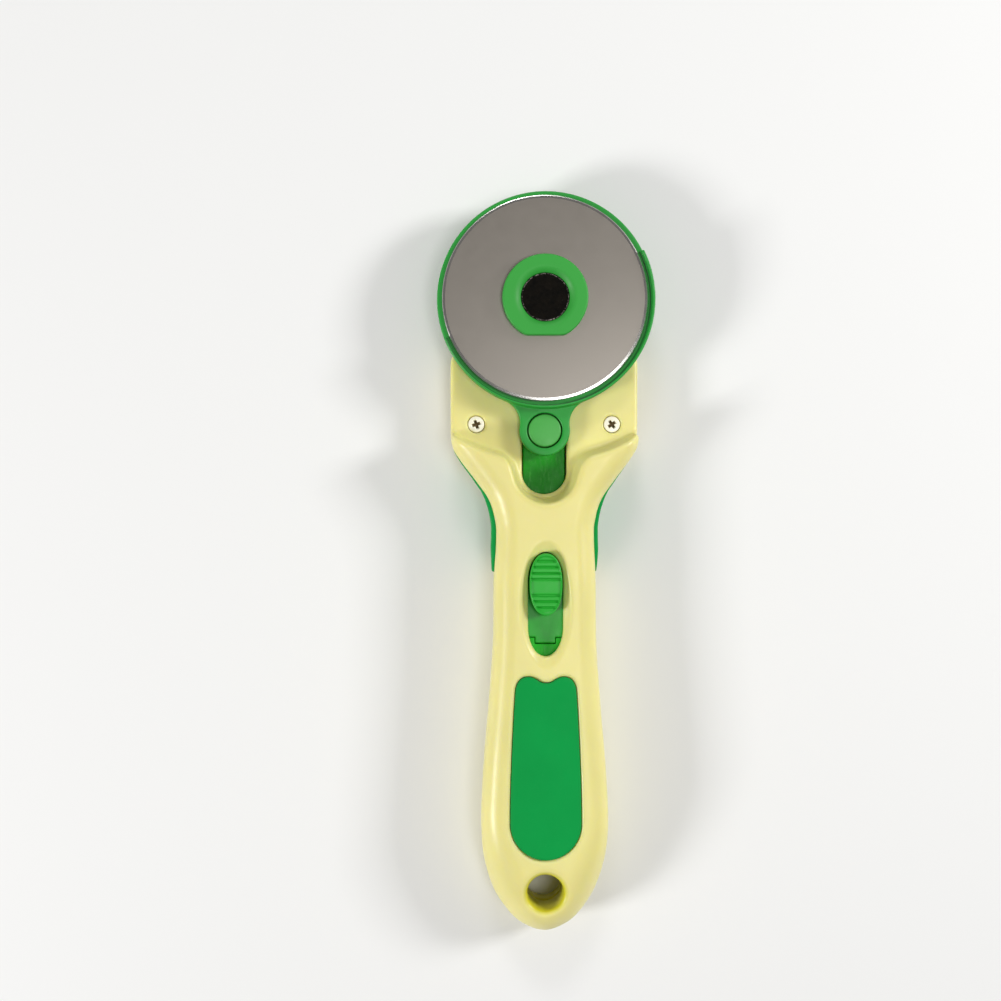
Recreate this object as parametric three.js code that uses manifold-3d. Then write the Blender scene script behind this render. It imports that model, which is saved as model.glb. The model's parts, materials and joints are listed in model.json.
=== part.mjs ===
// Rotary cutter with a sliding, swinging blade cover.
// Millimetres, +Z up and out of the blade's face, +Y along the handle towards the blade.
// Inside the group every Y is measured from the blade's axis; the group then moves the whole
// cutter so that its origin is the middle of its length, on the surface it lies on.
import * as THREE from "three";
import { mergeVertices } from "three/addons/utils/BufferGeometryUtils.js";
import Module from "manifold-3d";

const wasm = await Module();
wasm.setup();

// ---- driving dimensions -------------------------------------------------------------------

const BLADE_R = 30;
const HANDLE_END_Y = -185.9;
const COVER_TRAVEL = 11.5;
const COVER_SWING = THREE.MathUtils.degToRad(9);

// Levels, from the resting plane up.
const PARTING_Z = 8;
const HEAD_FLOOR_Z = 11.5;
const HANDLE_TOP_Z = 21.5;
const BLADE_Z = 15.6;
const BLADE_THICK = 0.3;
const BAR_Z = 7.2;
const BAR_THICK = 2;
const TAIL_Z = 15.6;
const TAIL_THICK = 1.8;
const CAVITY_BOTTOM_Z = 3.6;
const CAVITY_TOP_Z = 18;

// Plan sizes.
const WALL = 3;
const EDGE_ROUND = 3.5;
const GAP = 0.3;
const HOLE_Y = -172.4;
const HOLE_R = 5.25;
const PIVOT_Y = -38.6;
const LUG_R = 7.4;
const BUTTON_R = 4.75;
const GUARD_R = 32;
const GUARD_CENTRE_Y = -0.4;
const GUARD_WALL_R = 31.1;
const GUARD_LEDGE_R = 28.8;
const GUARD_FILLET_R = 7;
const BOSS_R = 5.5;
const ARM_HALF = 11;
const SCREW_X = 20;
const SCREW_Y = -36.6;
const SLOT_HALF = 6.55;
const SLOT_END_Y = -57.15;
const BAR_HALF = 6.2;
const THUMB_HALF = 5.08;
const THUMB_TOP_Y = -73.9;
const THUMB_END_Y = -104.1;
const KNOB_Y = -83.1;
const KNOB_LENGTH = 17.7;
const KNOB_HALF = 4.7;

// ---- materials ----------------------------------------------------------------------------

const paint = (color, roughness, metalness = 0) =>
  new THREE.MeshStandardMaterial({ color, roughness, metalness });
const yellowPlastic = paint(0xe9e19c, 0.42);
const greenPlastic = paint(0x35a84c, 0.38);
const greenRubber = paint(0x159a45, 0.7);
const bladeSteel = paint(0xb4b0ae, 0.3, 1);
const platedSteel = paint(0xc9c6bd, 0.28, 1);
const blackFerrite = paint(0x17181a, 0.8);

// ---- solids -------------------------------------------------------------------------------

function solid(geometry) {
  const bare = geometry.clone();
  bare.deleteAttribute("normal");
  bare.deleteAttribute("uv");
  const merged = mergeVertices(bare, 1e-4);
  return new wasm.Manifold(
    new wasm.Mesh({
      numProp: 3,
      vertProperties: merged.attributes.position.array,
      triVerts: new Uint32Array(merged.index.array),
    }),
  );
}

function geometryOf(body) {
  const made = body.getMesh();
  const geometry = new THREE.BufferGeometry();
  geometry.setAttribute("position", new THREE.BufferAttribute(made.vertProperties, 3));
  geometry.setIndex(new THREE.BufferAttribute(made.triVerts, 1));
  const faceted = geometry.toNonIndexed();
  faceted.computeVertexNormals();
  return faceted;
}

// A flat outline between two heights, its edges rounded inwards by `round`.
function prism(points, z0, z1, round = 0, steps = 2) {
  const shape = points instanceof THREE.Shape ? points : new THREE.Shape(points);
  const geometry = new THREE.ExtrudeGeometry(shape, {
    depth: z1 - z0 - 2 * round,
    curveSegments: 20,
    bevelEnabled: round > 0,
    bevelThickness: round,
    bevelSize: round,
    bevelOffset: -round,
    bevelSegments: steps,
  });
  geometry.translate(0, 0, z0 + round);
  return solid(geometry);
}

function block(x0, x1, y0, y1, z0, z1) {
  const geometry = new THREE.BoxGeometry(x1 - x0, y1 - y0, z1 - z0);
  geometry.translate((x0 + x1) / 2, (y0 + y1) / 2, (z0 + z1) / 2);
  return solid(geometry);
}

// A profile of [radius, height] pairs turned about the vertical line through (x, y).
function turned(profile, x = 0, y = 0, segments = 32) {
  const geometry = new THREE.LatheGeometry(
    profile.map(([r, z]) => new THREE.Vector2(r, z)),
    segments,
  );
  geometry.rotateX(Math.PI / 2);
  geometry.translate(x, y, 0);
  return solid(geometry);
}

const drum = (r, z0, z1, x = 0, y = 0, segments = 32) =>
  turned([[0, z0], [r, z0], [r, z1], [0, z1]], x, y, segments);

// A profile in the (Y, Z) plane, given as [y, z] pairs, as wide as 2 * half across X.
function sideProfile(profile, half) {
  const geometry = new THREE.ExtrudeGeometry(
    new THREE.Shape(profile.map(([y, z]) => new THREE.Vector2(y, z))),
    { depth: 2 * half, bevelEnabled: false },
  );
  geometry.rotateX(Math.PI / 2);
  geometry.rotateZ(Math.PI / 2);
  geometry.translate(-half, 0, 0);
  return solid(geometry);
}

const mirrored = (points) => [
  ...points,
  ...points.slice().reverse().map((p) => new THREE.Vector2(-p.x, p.y)),
];

const arc = (x, y, r, from, to, steps) =>
  Array.from({ length: steps + 1 }, (_, i) => {
    const angle = THREE.MathUtils.degToRad(from + ((to - from) * i) / steps);
    return new THREE.Vector2(x + r * Math.cos(angle), y + r * Math.sin(angle));
  });

// ---- outlines -----------------------------------------------------------------------------

// Half-width of the handle at each Y, from the head down to its rounded end.
const HALF_WIDTHS = [
  [-34, 27.6], [-42.4, 27.2], [-47, 24.9], [-53, 20.4], [-58.9, 16.4], [-64.9, 14.6],
  [-70, 14.3], [-82.7, 14.8], [-100.5, 15], [-118.3, 16.2], [-136.1, 17.7],
  [-152.5, 18.5], [-162.9, 17.9], [-171.8, 15.6], [-177.7, 12.5], [-183.2, 7.4],
];
const side = new THREE.SplineCurve([
  ...HALF_WIDTHS.map(([y, x]) => new THREE.Vector2(x, y)),
  new THREE.Vector2(0, HANDLE_END_Y),
  ...HALF_WIDTHS.slice().reverse().map(([y, x]) => new THREE.Vector2(-x, y)),
]);
const sidePoints = side.getPoints(2 * 2 * HALF_WIDTHS.length);

const SHOULDER_Y = -13;
const SHOULDER_R = 6;
const SHOULDER_X = 21.6;
const handleOutline = [
  ...arc(-SHOULDER_X, SHOULDER_Y - SHOULDER_R, SHOULDER_R, 180, 90, 3),
  ...arc(SHOULDER_X, SHOULDER_Y - SHOULDER_R, SHOULDER_R, 90, 0, 3),
  ...sidePoints,
];

// Half-width of the handle's side at a height Y along it.
function halfWidthAt(y) {
  const right = sidePoints.filter((p) => p.x >= 0);
  const below = right.findIndex((p) => p.y <= y);
  const a = right[Math.max(below - 1, 0)];
  const b = right[below];
  return a.x + ((b.x - a.x) * (a.y - y)) / Math.max(a.y - b.y, 1e-6);
}

// The head's lowered floor, which ends at an S-shaped step and a round pocket for the lug.
const FLOOR_EDGE = [
  [31, -38.8], [25.7, -39.2], [22.5, -41], [18.6, -42.7], [15, -43.9], [12.4, -44.6],
  [10.5, -45.9], [8.9, -47.9], [8.1, -50.2],
];
const floorOutline = [
  ...[[-31, -5], [31, -5], ...FLOOR_EDGE].map(([x, y]) => new THREE.Vector2(x, y)),
  ...arc(0, -50.6, 7.75, -18, -162, 12),
  ...FLOOR_EDGE.slice().reverse().map(([x, y]) => new THREE.Vector2(-x, y)),
];

const slotOutline = (half, top, end) => [
  new THREE.Vector2(-half, top),
  new THREE.Vector2(half, top),
  ...arc(0, end + half, half, 0, -180, 10),
];

// A long opening with half-round ends.
const stadium = (half, top, end, steps = 8) => [
  ...arc(0, top - half, half, 180, 0, steps),
  ...arc(0, end + half, half, 0, -180, steps),
];

// The grip pad: two shallow lobes at the top, slowly widening sides and a half-round end.
const PAD_END_R = 10.3;
const PAD_END_CENTRE_Y = -152.2;
function padOutline(grow) {
  const lobes = [
    [0, -111.6], [1.8, -111.2], [3.4, -110.2], [5.2, -109.8], [7.2, -110.4], [8.6, -112.9],
  ];
  const flank = [[9.4, -124], [9.95, -136], [10.25, -147]];
  const right = [...lobes, ...flank].map(([x, y]) => {
    const out = x > 8 ? grow : 0;
    return new THREE.Vector2(x + out, y + (y > -113 ? grow : 0));
  });
  const half = [...right, ...arc(0, PAD_END_CENTRE_Y, PAD_END_R + grow, 0, -90, 8)];
  return mirrored(half).filter((p, i, all) => i === 0 || p.distanceTo(all[i - 1]) > 0.01);
}

// ---- handle -------------------------------------------------------------------------------

const PAD_POCKET_DEPTH = 1.8;
const PAD_PROUD = 0.8;
const REST_TOP_Y = -43.2;
const REST_END_Y = -80.3;
const REST_DEPTH = 1.5;
const REST_PROUD = 1.5;
const REST_Z = [2.6, 15.4];

// One finger rest, a long lens along the side of the neck, grown all round by `grow`.
function fingerRest(sign, grow) {
  const steps = 12;
  const top = REST_TOP_Y + grow;
  const end = REST_END_Y - grow;
  const inner = [];
  const outer = [];
  for (let i = 0; i <= steps; i += 1) {
    const t = i / steps;
    const y = top + (end - top) * t;
    const proud = REST_PROUD * Math.min(1, Math.sin(Math.PI * Math.min(t * 0.66 + 0.02, 0.94)));
    const depth = REST_DEPTH * Math.min(1, 4 * t, 6 * (1 - t) + 0.3);
    outer.push(new THREE.Vector2(sign * (halfWidthAt(y) + proud + grow), y));
    inner.push(new THREE.Vector2(sign * (halfWidthAt(y) - depth - grow), y));
  }
  return prism([...outer, ...inner.reverse()], REST_Z[0] - grow, REST_Z[1] + grow);
}

const cavityPoints = sidePoints.filter((p) => p.y < -66).map((p) => {
  const shrink = WALL / Math.hypot(p.x, 12);
  return new THREE.Vector2(p.x * (1 - shrink), Math.max(p.y + WALL, HANDLE_END_Y + WALL));
});
const cavity = prism(
  cavityPoints.filter((p) => p.y > HOLE_Y + HOLE_R + 3),
  CAVITY_BOTTOM_Z,
  CAVITY_TOP_Z,
  2,
);
const CHANNEL_Z = 5;
const CHANNEL_Y = [-31, -74];
const channel = prism(
  slotOutline(SLOT_HALF + GAP, CHANNEL_Y[0], CHANNEL_Y[1]),
  CHANNEL_Z,
  BAR_Z + BAR_THICK + 0.6,
);
const hangHole = drum(HOLE_R, -1, HANDLE_TOP_Z + 1, 0, HOLE_Y);

const wholeHandle = prism(handleOutline, 0, HANDLE_TOP_Z, EDGE_ROUND, 3)
  .subtract(cavity)
  .subtract(channel)
  .subtract(hangHole)
  .subtract(fingerRest(1, GAP))
  .subtract(fingerRest(-1, GAP));

const padPocketTop = prism(
  padOutline(GAP),
  HANDLE_TOP_Z - PAD_POCKET_DEPTH,
  HANDLE_TOP_Z + 1,
);
const DISH_RADII = [8.2, 20.5, 3];
const DISH_Y = -90;
const DISH_RAISED = 1.2;
const thumbDish = () => {
  const geometry = new THREE.SphereGeometry(1, 24, 12);
  geometry.scale(...DISH_RADII);
  geometry.translate(0, DISH_Y, HANDLE_TOP_Z + DISH_RAISED);
  return solid(geometry);
};
const SCREW_HEAD_R = 2.45;
const SCREW_SHANK_R = 1.25;
const SCREW_END_Z = 3.2;
const SCREW_TOP_Z = 11.4;
const SEAT_Z = 9.7;
const SEAT_R = [1.6, 2.65];
const screwSeat = (sign) =>
  turned(
    [
      [0, SCREW_END_Z - 0.5], [SEAT_R[0], SCREW_END_Z - 0.5], [SEAT_R[0], SEAT_Z],
      [SEAT_R[1], SEAT_Z], [SEAT_R[1], HEAD_FLOOR_Z + 0.5], [0, HEAD_FLOOR_Z + 0.5],
    ],
    sign * SCREW_X,
    SCREW_Y,
    20,
  );
const seats = screwSeat(1).add(screwSeat(-1));

const frontShell = wholeHandle
  .intersect(block(-40, 40, -200, 20, PARTING_Z + GAP / 2, 30))
  .subtract(prism(floorOutline, HEAD_FLOOR_Z, 30))
  .subtract(prism(slotOutline(SLOT_HALF, CHANNEL_Y[0], SLOT_END_Y), CHANNEL_Z, 20))
  .subtract(prism(stadium(THUMB_HALF, THUMB_TOP_Y, THUMB_END_Y), CAVITY_TOP_Z - 3, 30))
  .subtract(thumbDish())
  .subtract(padPocketTop)
  .subtract(seats);

// The arm reaches from the head up behind the blade and carries the axle in a round boss.
const ARM_Z = [3.2, 11.4];
const BOSS_TOP_Z = BLADE_Z - GAP;
const armOutline = [
  ...arc(0, 0, ARM_HALF, 180, 0, 14),
  new THREE.Vector2(ARM_HALF + 2, -12),
  new THREE.Vector2(ARM_HALF + 8, SHOULDER_Y - 4),
  new THREE.Vector2(-ARM_HALF - 8, SHOULDER_Y - 4),
  new THREE.Vector2(-ARM_HALF - 2, -12),
];
const BOLT_HEAD_R = 3.9;
const BOLT_SHAFT_R = 2.5;
const BOLT_SHOULDER_Z = 13.6;
const armAbove = prism(armOutline, ARM_Z[0], ARM_Z[1], 0.8, 1)
  .add(drum(BOSS_R, ARM_Z[1] - 1, BOSS_TOP_Z))
  .subtract(block(-40, 40, -40, SHOULDER_Y + GAP, PARTING_Z - 0.15, 20));
const backPocket = prism(padOutline(GAP), -1, PAD_POCKET_DEPTH);
// The head's back is stepped up to make room for the axle's washers and nut.
const HEAD_BACK_Z = 2;
const HEAD_BACK_Y = -42;
const backShell = wholeHandle
  .intersect(block(-40, 40, -200, 20, -1, PARTING_Z - GAP / 2))
  .subtract(block(-40, 40, HEAD_BACK_Y, 20, -1, HEAD_BACK_Z))
  .add(armAbove)
  .subtract(drum(BOLT_SHAFT_R + GAP, -1, 20, 0, 0, 24))
  .subtract(drum(BOLT_HEAD_R + GAP, BOLT_SHOULDER_Z - GAP, 20, 0, 0, 24))
  .subtract(backPocket)
  .subtract(seats);

// ---- sliding cover ------------------------------------------------------------------------

// The guard's outline: a disc and the pivot lug, joined by two concave fillets.
const guardCentre = new THREE.Vector2(0, GUARD_CENTRE_Y);
const lugCentre = new THREE.Vector2(0, PIVOT_Y);
const reach = guardCentre.distanceTo(lugCentre);
const toFillet = GUARD_R + GUARD_FILLET_R;
const lugToFillet = LUG_R + GUARD_FILLET_R;
const filletDrop = (toFillet ** 2 - lugToFillet ** 2 + reach ** 2) / (2 * reach);
const filletX = Math.sqrt(toFillet ** 2 - filletDrop ** 2);
const filletCentre = new THREE.Vector2(filletX, GUARD_CENTRE_Y - filletDrop);
const degrees = (v) => THREE.MathUtils.radToDeg(Math.atan2(v.y, v.x));
const discAngle = degrees(filletCentre.clone().sub(guardCentre));
const lugAngle = degrees(filletCentre.clone().sub(lugCentre));
const guardOutline = [
  ...arc(0, GUARD_CENTRE_Y, GUARD_R, discAngle, 180 - discAngle, 56),
  ...arc(-filletX, filletCentre.y, GUARD_FILLET_R, -discAngle, -lugAngle, 5),
  ...arc(0, PIVOT_Y, LUG_R, 180 - lugAngle, 360 + lugAngle, 14),
  ...arc(filletX, filletCentre.y, GUARD_FILLET_R, 180 + lugAngle, 180 + discAngle, 5),
];

const GUARD_Z = 11.9;
const GUARD_PLATE = 1.4;
const LOW_RIM_TOP_Z = 15.2;
const LUG_TOP_Z = 15;
const WALL_TOP_Z = 17.8;
const WALL_FROM = -158.6;
const WALL_TO = 27.1;

// The slot that lets the fixed axle boss pass along the guard as it slides and swings.
function bossSlot() {
  let cut = null;
  const steps = 5;
  const clear = BOSS_R + 0.35;
  const at = (t) => {
    const swing = COVER_SWING * t;
    const length = COVER_TRAVEL * t - PIVOT_Y;
    return new THREE.Vector2(-length * Math.sin(swing), PIVOT_Y + length * Math.cos(swing));
  };
  for (let i = 0; i < steps; i += 1) {
    const a = at(i / steps);
    const b = at((i + 1) / steps);
    const heading = degrees(b.clone().sub(a));
    const run = prism(
      [
        ...arc(a.x, a.y, clear, heading + 90, heading + 270, 10),
        ...arc(b.x, b.y, clear, heading - 90, heading + 90, 10),
      ],
      GUARD_Z - 1,
      BLADE_Z,
    );
    cut = cut ? cut.add(run) : run;
  }
  return cut;
}

const tray = (r, z0, z1) => drum(r, z0, z1, 0, GUARD_CENTRE_Y, 64);
const wallCut = prism(
  [
    new THREE.Vector2(0, GUARD_CENTRE_Y),
    ...arc(0, GUARD_CENTRE_Y, 45, WALL_TO, 360 + WALL_FROM, 10),
  ],
  LOW_RIM_TOP_Z,
  30,
);
const guardSolid = prism(guardOutline, GUARD_Z, LUG_TOP_Z)
  .add(tray(GUARD_R, LUG_TOP_Z - 0.5, WALL_TOP_Z).subtract(wallCut))
  .add(tray(GUARD_R, LUG_TOP_Z - 0.5, LOW_RIM_TOP_Z))
  .subtract(tray(GUARD_WALL_R, LOW_RIM_TOP_Z, 30))
  .subtract(tray(GUARD_LEDGE_R, GUARD_Z + GUARD_PLATE, 30))
  .subtract(bossSlot())
  .subtract(drum(BUTTON_R + GAP + 0.1, 5, 20, 0, PIVOT_Y, 28));

// The bar: a thin strip in the head's channel that steps up under the thumb opening.
const BAR_STEP_Y = [-63.5, -67.5];
const BAR_RAMP = 2.8;
const BAR_END_Y = -118;
const barProfile = [
  [PIVOT_Y, BAR_Z], [PIVOT_Y, BAR_Z + BAR_THICK], [BAR_STEP_Y[0] - 1, BAR_Z + BAR_THICK],
  [BAR_STEP_Y[1] - 1, TAIL_Z + TAIL_THICK], [BAR_END_Y, TAIL_Z + TAIL_THICK],
  [BAR_END_Y, TAIL_Z], [BAR_STEP_Y[1] - BAR_RAMP, TAIL_Z], [BAR_STEP_Y[0] - BAR_RAMP, BAR_Z],
];
const barEye = drum(BAR_HALF, BAR_Z, BAR_Z + BAR_THICK, 0, PIVOT_Y);
const KNOB_STEM = [3.6, 6];
const stemHole = block(
  -KNOB_STEM[0] - GAP,
  KNOB_STEM[0] + GAP,
  KNOB_Y - KNOB_STEM[1] - GAP,
  KNOB_Y + KNOB_STEM[1] + GAP,
  TAIL_Z - 1,
  TAIL_Z + TAIL_THICK + 1,
);
const BUTTON_STEM_R = 1.6;
const bar = sideProfile(barProfile, BAR_HALF - 0.01)
  .add(barEye)
  .subtract(stemHole)
  .subtract(drum(BUTTON_STEM_R + GAP, 5, 20, 0, PIVOT_Y, 20));

const KNOB_Z = [18, 23];
const oval = (halfX, halfY, steps) =>
  Array.from({ length: steps }, (_, i) => {
    const angle = (2 * Math.PI * i) / steps;
    return new THREE.Vector2(halfX * Math.cos(angle), KNOB_Y + halfY * Math.sin(angle));
  });
const knob = prism(oval(KNOB_HALF, KNOB_LENGTH / 2, 32), KNOB_Z[0], KNOB_Z[1], 0.8, 2).add(
  block(
    -KNOB_STEM[0],
    KNOB_STEM[0],
    KNOB_Y - KNOB_STEM[1],
    KNOB_Y + KNOB_STEM[1],
    TAIL_Z - 0.8,
    KNOB_Z[0] + 1,
  ),
);

// The release button: a cup with a flange under the guard's lug and a stem in the bar's eye.
const BUTTON_TOP_Z = 15.3;
const BUTTON_TRAVEL = 1.2;
const FLANGE_Z = [10.8, 11.6];
const FLANGE_R = 6;
const CUP_R = 3.5;
const CUP_CEILING_Z = 13.8;
const button = turned(
  [
    [0, BAR_Z + BUTTON_TRAVEL + 0.1], [BUTTON_STEM_R, BAR_Z + BUTTON_TRAVEL + 0.1],
    [BUTTON_STEM_R, CUP_CEILING_Z], [CUP_R, CUP_CEILING_Z], [CUP_R, FLANGE_Z[0]],
    [FLANGE_R, FLANGE_Z[0]], [FLANGE_R, FLANGE_Z[1]], [BUTTON_R, FLANGE_Z[1]],
    [BUTTON_R, BUTTON_TOP_Z - 0.5], [BUTTON_R - 0.5, BUTTON_TOP_Z - 0.15], [0, BUTTON_TOP_Z],
  ],
  0,
  PIVOT_Y,
  28,
);

// A coil spring round the button's stem.
class Helix extends THREE.Curve {
  constructor(radius, z0, z1, turns) {
    super();
    Object.assign(this, { radius, z0, z1, turns });
  }
  getPoint(t, target = new THREE.Vector3()) {
    const angle = 2 * Math.PI * this.turns * t;
    return target.set(
      this.radius * Math.cos(angle),
      this.radius * Math.sin(angle),
      this.z0 + (this.z1 - this.z0) * t,
    );
  }
}
const SPRING_WIRE_R = 0.3;
const SPRING_R = 2.6;
const SPRING_TURNS = 4;
const springBottom = BAR_Z + BAR_THICK + SPRING_WIRE_R + 0.1;
const springTop = CUP_CEILING_Z - SPRING_WIRE_R - 0.1;
function coil() {
  const section = new THREE.Shape(arc(0, 0, SPRING_WIRE_R, 0, 300, 5));
  const geometry = new THREE.ExtrudeGeometry(section, {
    steps: SPRING_TURNS * 10,
    extrudePath: new Helix(SPRING_R, springBottom, springTop, SPRING_TURNS),
  });
  geometry.translate(0, PIVOT_Y, 0);
  return solid(geometry);
}

// ---- detent, blade and axle ---------------------------------------------------------------

// An arched leaf in the channel; its crest clicks into the bar's underside.
const LEAF_THICK = 0.3;
const LEAF_HALF = 2.5;
const LEAF_Y = [-61, -43];
function leaf() {
  const [y0, y1] = LEAF_Y;
  const low = CHANNEL_Z + 0.1;
  const rise = BAR_Z - CHANNEL_Z - LEAF_THICK - 0.25;
  const steps = 12;
  const under = Array.from({ length: steps + 1 }, (_, i) => [
    y0 + ((y1 - y0) * i) / steps,
    low + rise * (0.5 - 0.5 * Math.cos((2 * Math.PI * i) / steps)),
  ]);
  const over = under.map(([y, z]) => [y, z + LEAF_THICK]).reverse();
  return sideProfile([...under, ...over], LEAF_HALF);
}

const BLADE_HOLE_R = 4;
const BEVEL = 1.4;
const bladeTop = BLADE_Z + BLADE_THICK;
const bladeSolid = turned(
  [
    [BLADE_HOLE_R, BLADE_Z], [BLADE_R - BEVEL, BLADE_Z], [BLADE_R, BLADE_Z + 0.13],
    [BLADE_R, BLADE_Z + 0.17], [BLADE_R - BEVEL, bladeTop], [BLADE_HOLE_R, bladeTop],
    [BLADE_HOLE_R, BLADE_Z],
  ],
  0,
  0,
  72,
);

const BOLT_END_Z = 0.2;
const BOLT_TOP_Z = 16.8;
const boltSolid = turned(
  [
    [0, BOLT_END_Z], [BOLT_SHAFT_R, BOLT_END_Z], [BOLT_SHAFT_R, BOLT_SHOULDER_Z],
    [BOLT_HEAD_R, BOLT_SHOULDER_Z], [BOLT_HEAD_R, BOLT_TOP_Z], [0, BOLT_TOP_Z],
  ],
  0,
  0,
  32,
);
const ring = (inner, outer, z0, z1, segments = 28) =>
  turned([[inner, z0], [outer, z0], [outer, z1], [inner, z1], [inner, z0]], 0, 0, segments);
const WASHER_BORE_R = BOLT_SHAFT_R + GAP;
const FLAT_WASHER = { outer: 6, z: [2.5, 2.95] };
const SPRING_WASHER = { outer: 5.4, z: [1.75, 2.2] };
const flatWasher = ring(WASHER_BORE_R, FLAT_WASHER.outer, ...FLAT_WASHER.z);
const springWasher = ring(WASHER_BORE_R, SPRING_WASHER.outer, ...SPRING_WASHER.z);
const NUT_FLAT = 4.6;
const NUT_Z = [0, 1.6];
const nutOutline = arc(0, 0, NUT_FLAT / Math.cos(Math.PI / 6), 0, 300, 5);
const nut = prism(nutOutline, ...NUT_Z).subtract(
  drum(WASHER_BORE_R, NUT_Z[0] - 1, NUT_Z[1] + 1, 0, 0, 24),
);

// The hub cap: a disc with one flat side, holding the magnet in a flared well.
const CAP_R = 12.45;
const CAP_FLAT = 11.15;
const CAP_Z = [16.2, 19.1];
const MAGNET_R = 7;
const MAGNET_Z = [17.1, 17.8];
const cap = turned(
  [
    [0, CAP_Z[0]], [CAP_R, CAP_Z[0]], [CAP_R, CAP_Z[1] - 0.4], [CAP_R - 0.4, CAP_Z[1]],
    [0, CAP_Z[1]],
  ],
  0,
  0,
  48,
)
  .subtract(block(-20, 20, -20, -CAP_FLAT, 10, 30))
  .subtract(drum(BOLT_HEAD_R + GAP, 10, 30, 0, 0, 32))
  .subtract(
    turned(
      [
        [0, MAGNET_Z[0] - 0.15], [MAGNET_R + 0.15, MAGNET_Z[0] - 0.15],
        [MAGNET_R + 0.15, MAGNET_Z[1]], [8.5, CAP_Z[1] + 0.1], [0, CAP_Z[1] + 0.1],
      ],
      0,
      0,
      32,
    ),
  );

// ---- screws -------------------------------------------------------------------------------

// A low-headed screw with a cross recess.
const RECESS_REACH = 1.4;
const RECESS_HALF = 0.3;
const RECESS_DEPTH = 0.8;
function screw(sign) {
  const x = sign * SCREW_X;
  const recess = (halfX, halfY) =>
    block(x - halfX, x + halfX, SCREW_Y - halfY, SCREW_Y + halfY, SCREW_TOP_Z - RECESS_DEPTH, 20);
  const profile = [
    [0, SCREW_END_Z], [SCREW_SHANK_R, SCREW_END_Z], [SCREW_SHANK_R, SEAT_Z + GAP],
    [SCREW_HEAD_R, SEAT_Z + GAP + 0.1], [SCREW_HEAD_R, SCREW_TOP_Z - 0.6],
    [SCREW_HEAD_R - 0.55, SCREW_TOP_Z - 0.15], [0, SCREW_TOP_Z],
  ];
  return turned(profile, x, SCREW_Y, 20)
    .subtract(recess(RECESS_REACH, RECESS_HALF))
    .subtract(recess(RECESS_HALF, RECESS_REACH));
}

// ---- assembly -----------------------------------------------------------------------------

const cutter = new THREE.Group();

function add(name, body, material) {
  const mesh = new THREE.Mesh(geometryOf(body), material);
  mesh.name = name;
  cutter.add(mesh);
}

add("front_shell", frontShell, yellowPlastic);
add("back_shell", backShell, yellowPlastic);
add(
  "front_grip_pad",
  prism(padOutline(0), HANDLE_TOP_Z - PAD_POCKET_DEPTH + 0.2, HANDLE_TOP_Z + PAD_PROUD, 0.6, 2),
  greenRubber,
);
add("back_grip_pad", prism(padOutline(0), 0, PAD_POCKET_DEPTH - 0.2), greenRubber);
add("left_finger_rest", fingerRest(-1, 0), greenRubber);
add("right_finger_rest", fingerRest(1, 0), greenRubber);
add("head_screw_left", screw(-1), platedSteel);
add("head_screw_right", screw(1), platedSteel);
add("slide_bar", bar, greenPlastic);
add("slide_knob", knob, greenPlastic);
add("detent_spring", leaf(), platedSteel);
add("blade_guard", guardSolid, greenPlastic);
add("release_button", button, greenPlastic);
add("button_spring", coil(), platedSteel);
add("blade", bladeSolid, bladeSteel);
add("axle_bolt", boltSolid, platedSteel);
add("flat_washer", flatWasher, platedSteel);
add("spring_washer", springWasher, platedSteel);
add("axle_nut", nut, platedSteel);
add("hub_cap", cap, greenPlastic);
add("magnet", drum(MAGNET_R, MAGNET_Z[0], MAGNET_Z[1], 0, 0, 32), blackFerrite);

const GUARD_TOP_Y = GUARD_CENTRE_Y + GUARD_R;
cutter.position.y = -(HANDLE_END_Y + GUARD_TOP_Y) / 2;

export default cutter;
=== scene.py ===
"""Rotary cutter: the finished look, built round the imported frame.

Most pieces are meshed from signed distances: a function gives how far each point of a grid is from the
piece's surface, and the surface is drawn where that distance is nought. The blade, the bolt and the flat
washer are turned from profiles, and the two springs are swept. Lengths are millimetres, with Y measured
from the blade's axis, until a mesh is made. Meshes, materials, lights and the camera are in metres.
"""

import json
import math

import bpy
import numpy as np
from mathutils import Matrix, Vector


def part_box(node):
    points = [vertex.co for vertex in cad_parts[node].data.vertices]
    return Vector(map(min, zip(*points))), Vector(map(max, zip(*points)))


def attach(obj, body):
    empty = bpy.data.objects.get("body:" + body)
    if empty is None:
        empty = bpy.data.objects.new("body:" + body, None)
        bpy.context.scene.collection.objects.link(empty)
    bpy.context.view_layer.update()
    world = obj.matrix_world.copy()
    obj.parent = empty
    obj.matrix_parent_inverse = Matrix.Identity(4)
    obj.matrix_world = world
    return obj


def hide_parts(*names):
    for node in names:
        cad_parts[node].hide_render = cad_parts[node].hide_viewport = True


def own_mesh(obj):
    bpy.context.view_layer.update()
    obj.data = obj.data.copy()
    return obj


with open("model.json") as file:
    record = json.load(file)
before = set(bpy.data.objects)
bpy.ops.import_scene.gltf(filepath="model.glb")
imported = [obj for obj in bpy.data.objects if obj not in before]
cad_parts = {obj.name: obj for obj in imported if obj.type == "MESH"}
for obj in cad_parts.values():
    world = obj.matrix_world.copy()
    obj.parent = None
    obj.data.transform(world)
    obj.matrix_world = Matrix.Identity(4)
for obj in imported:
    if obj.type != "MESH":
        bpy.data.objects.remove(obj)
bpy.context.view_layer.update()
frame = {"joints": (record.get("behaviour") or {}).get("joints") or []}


# ---- places and sizes from the frame ---------------------------------------------------------


def _axis_y():
    low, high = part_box("blade")
    return 500 * (low.y + high.y)


AXIS_Y = _axis_y()


def span(node):
    """A CAD node's lowest and highest corners, in this file's millimetres."""
    low, high = (1000 * np.array(corner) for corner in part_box(node))
    return low - [0, AXIS_Y, 0], high - [0, AXIS_Y, 0]


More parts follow.
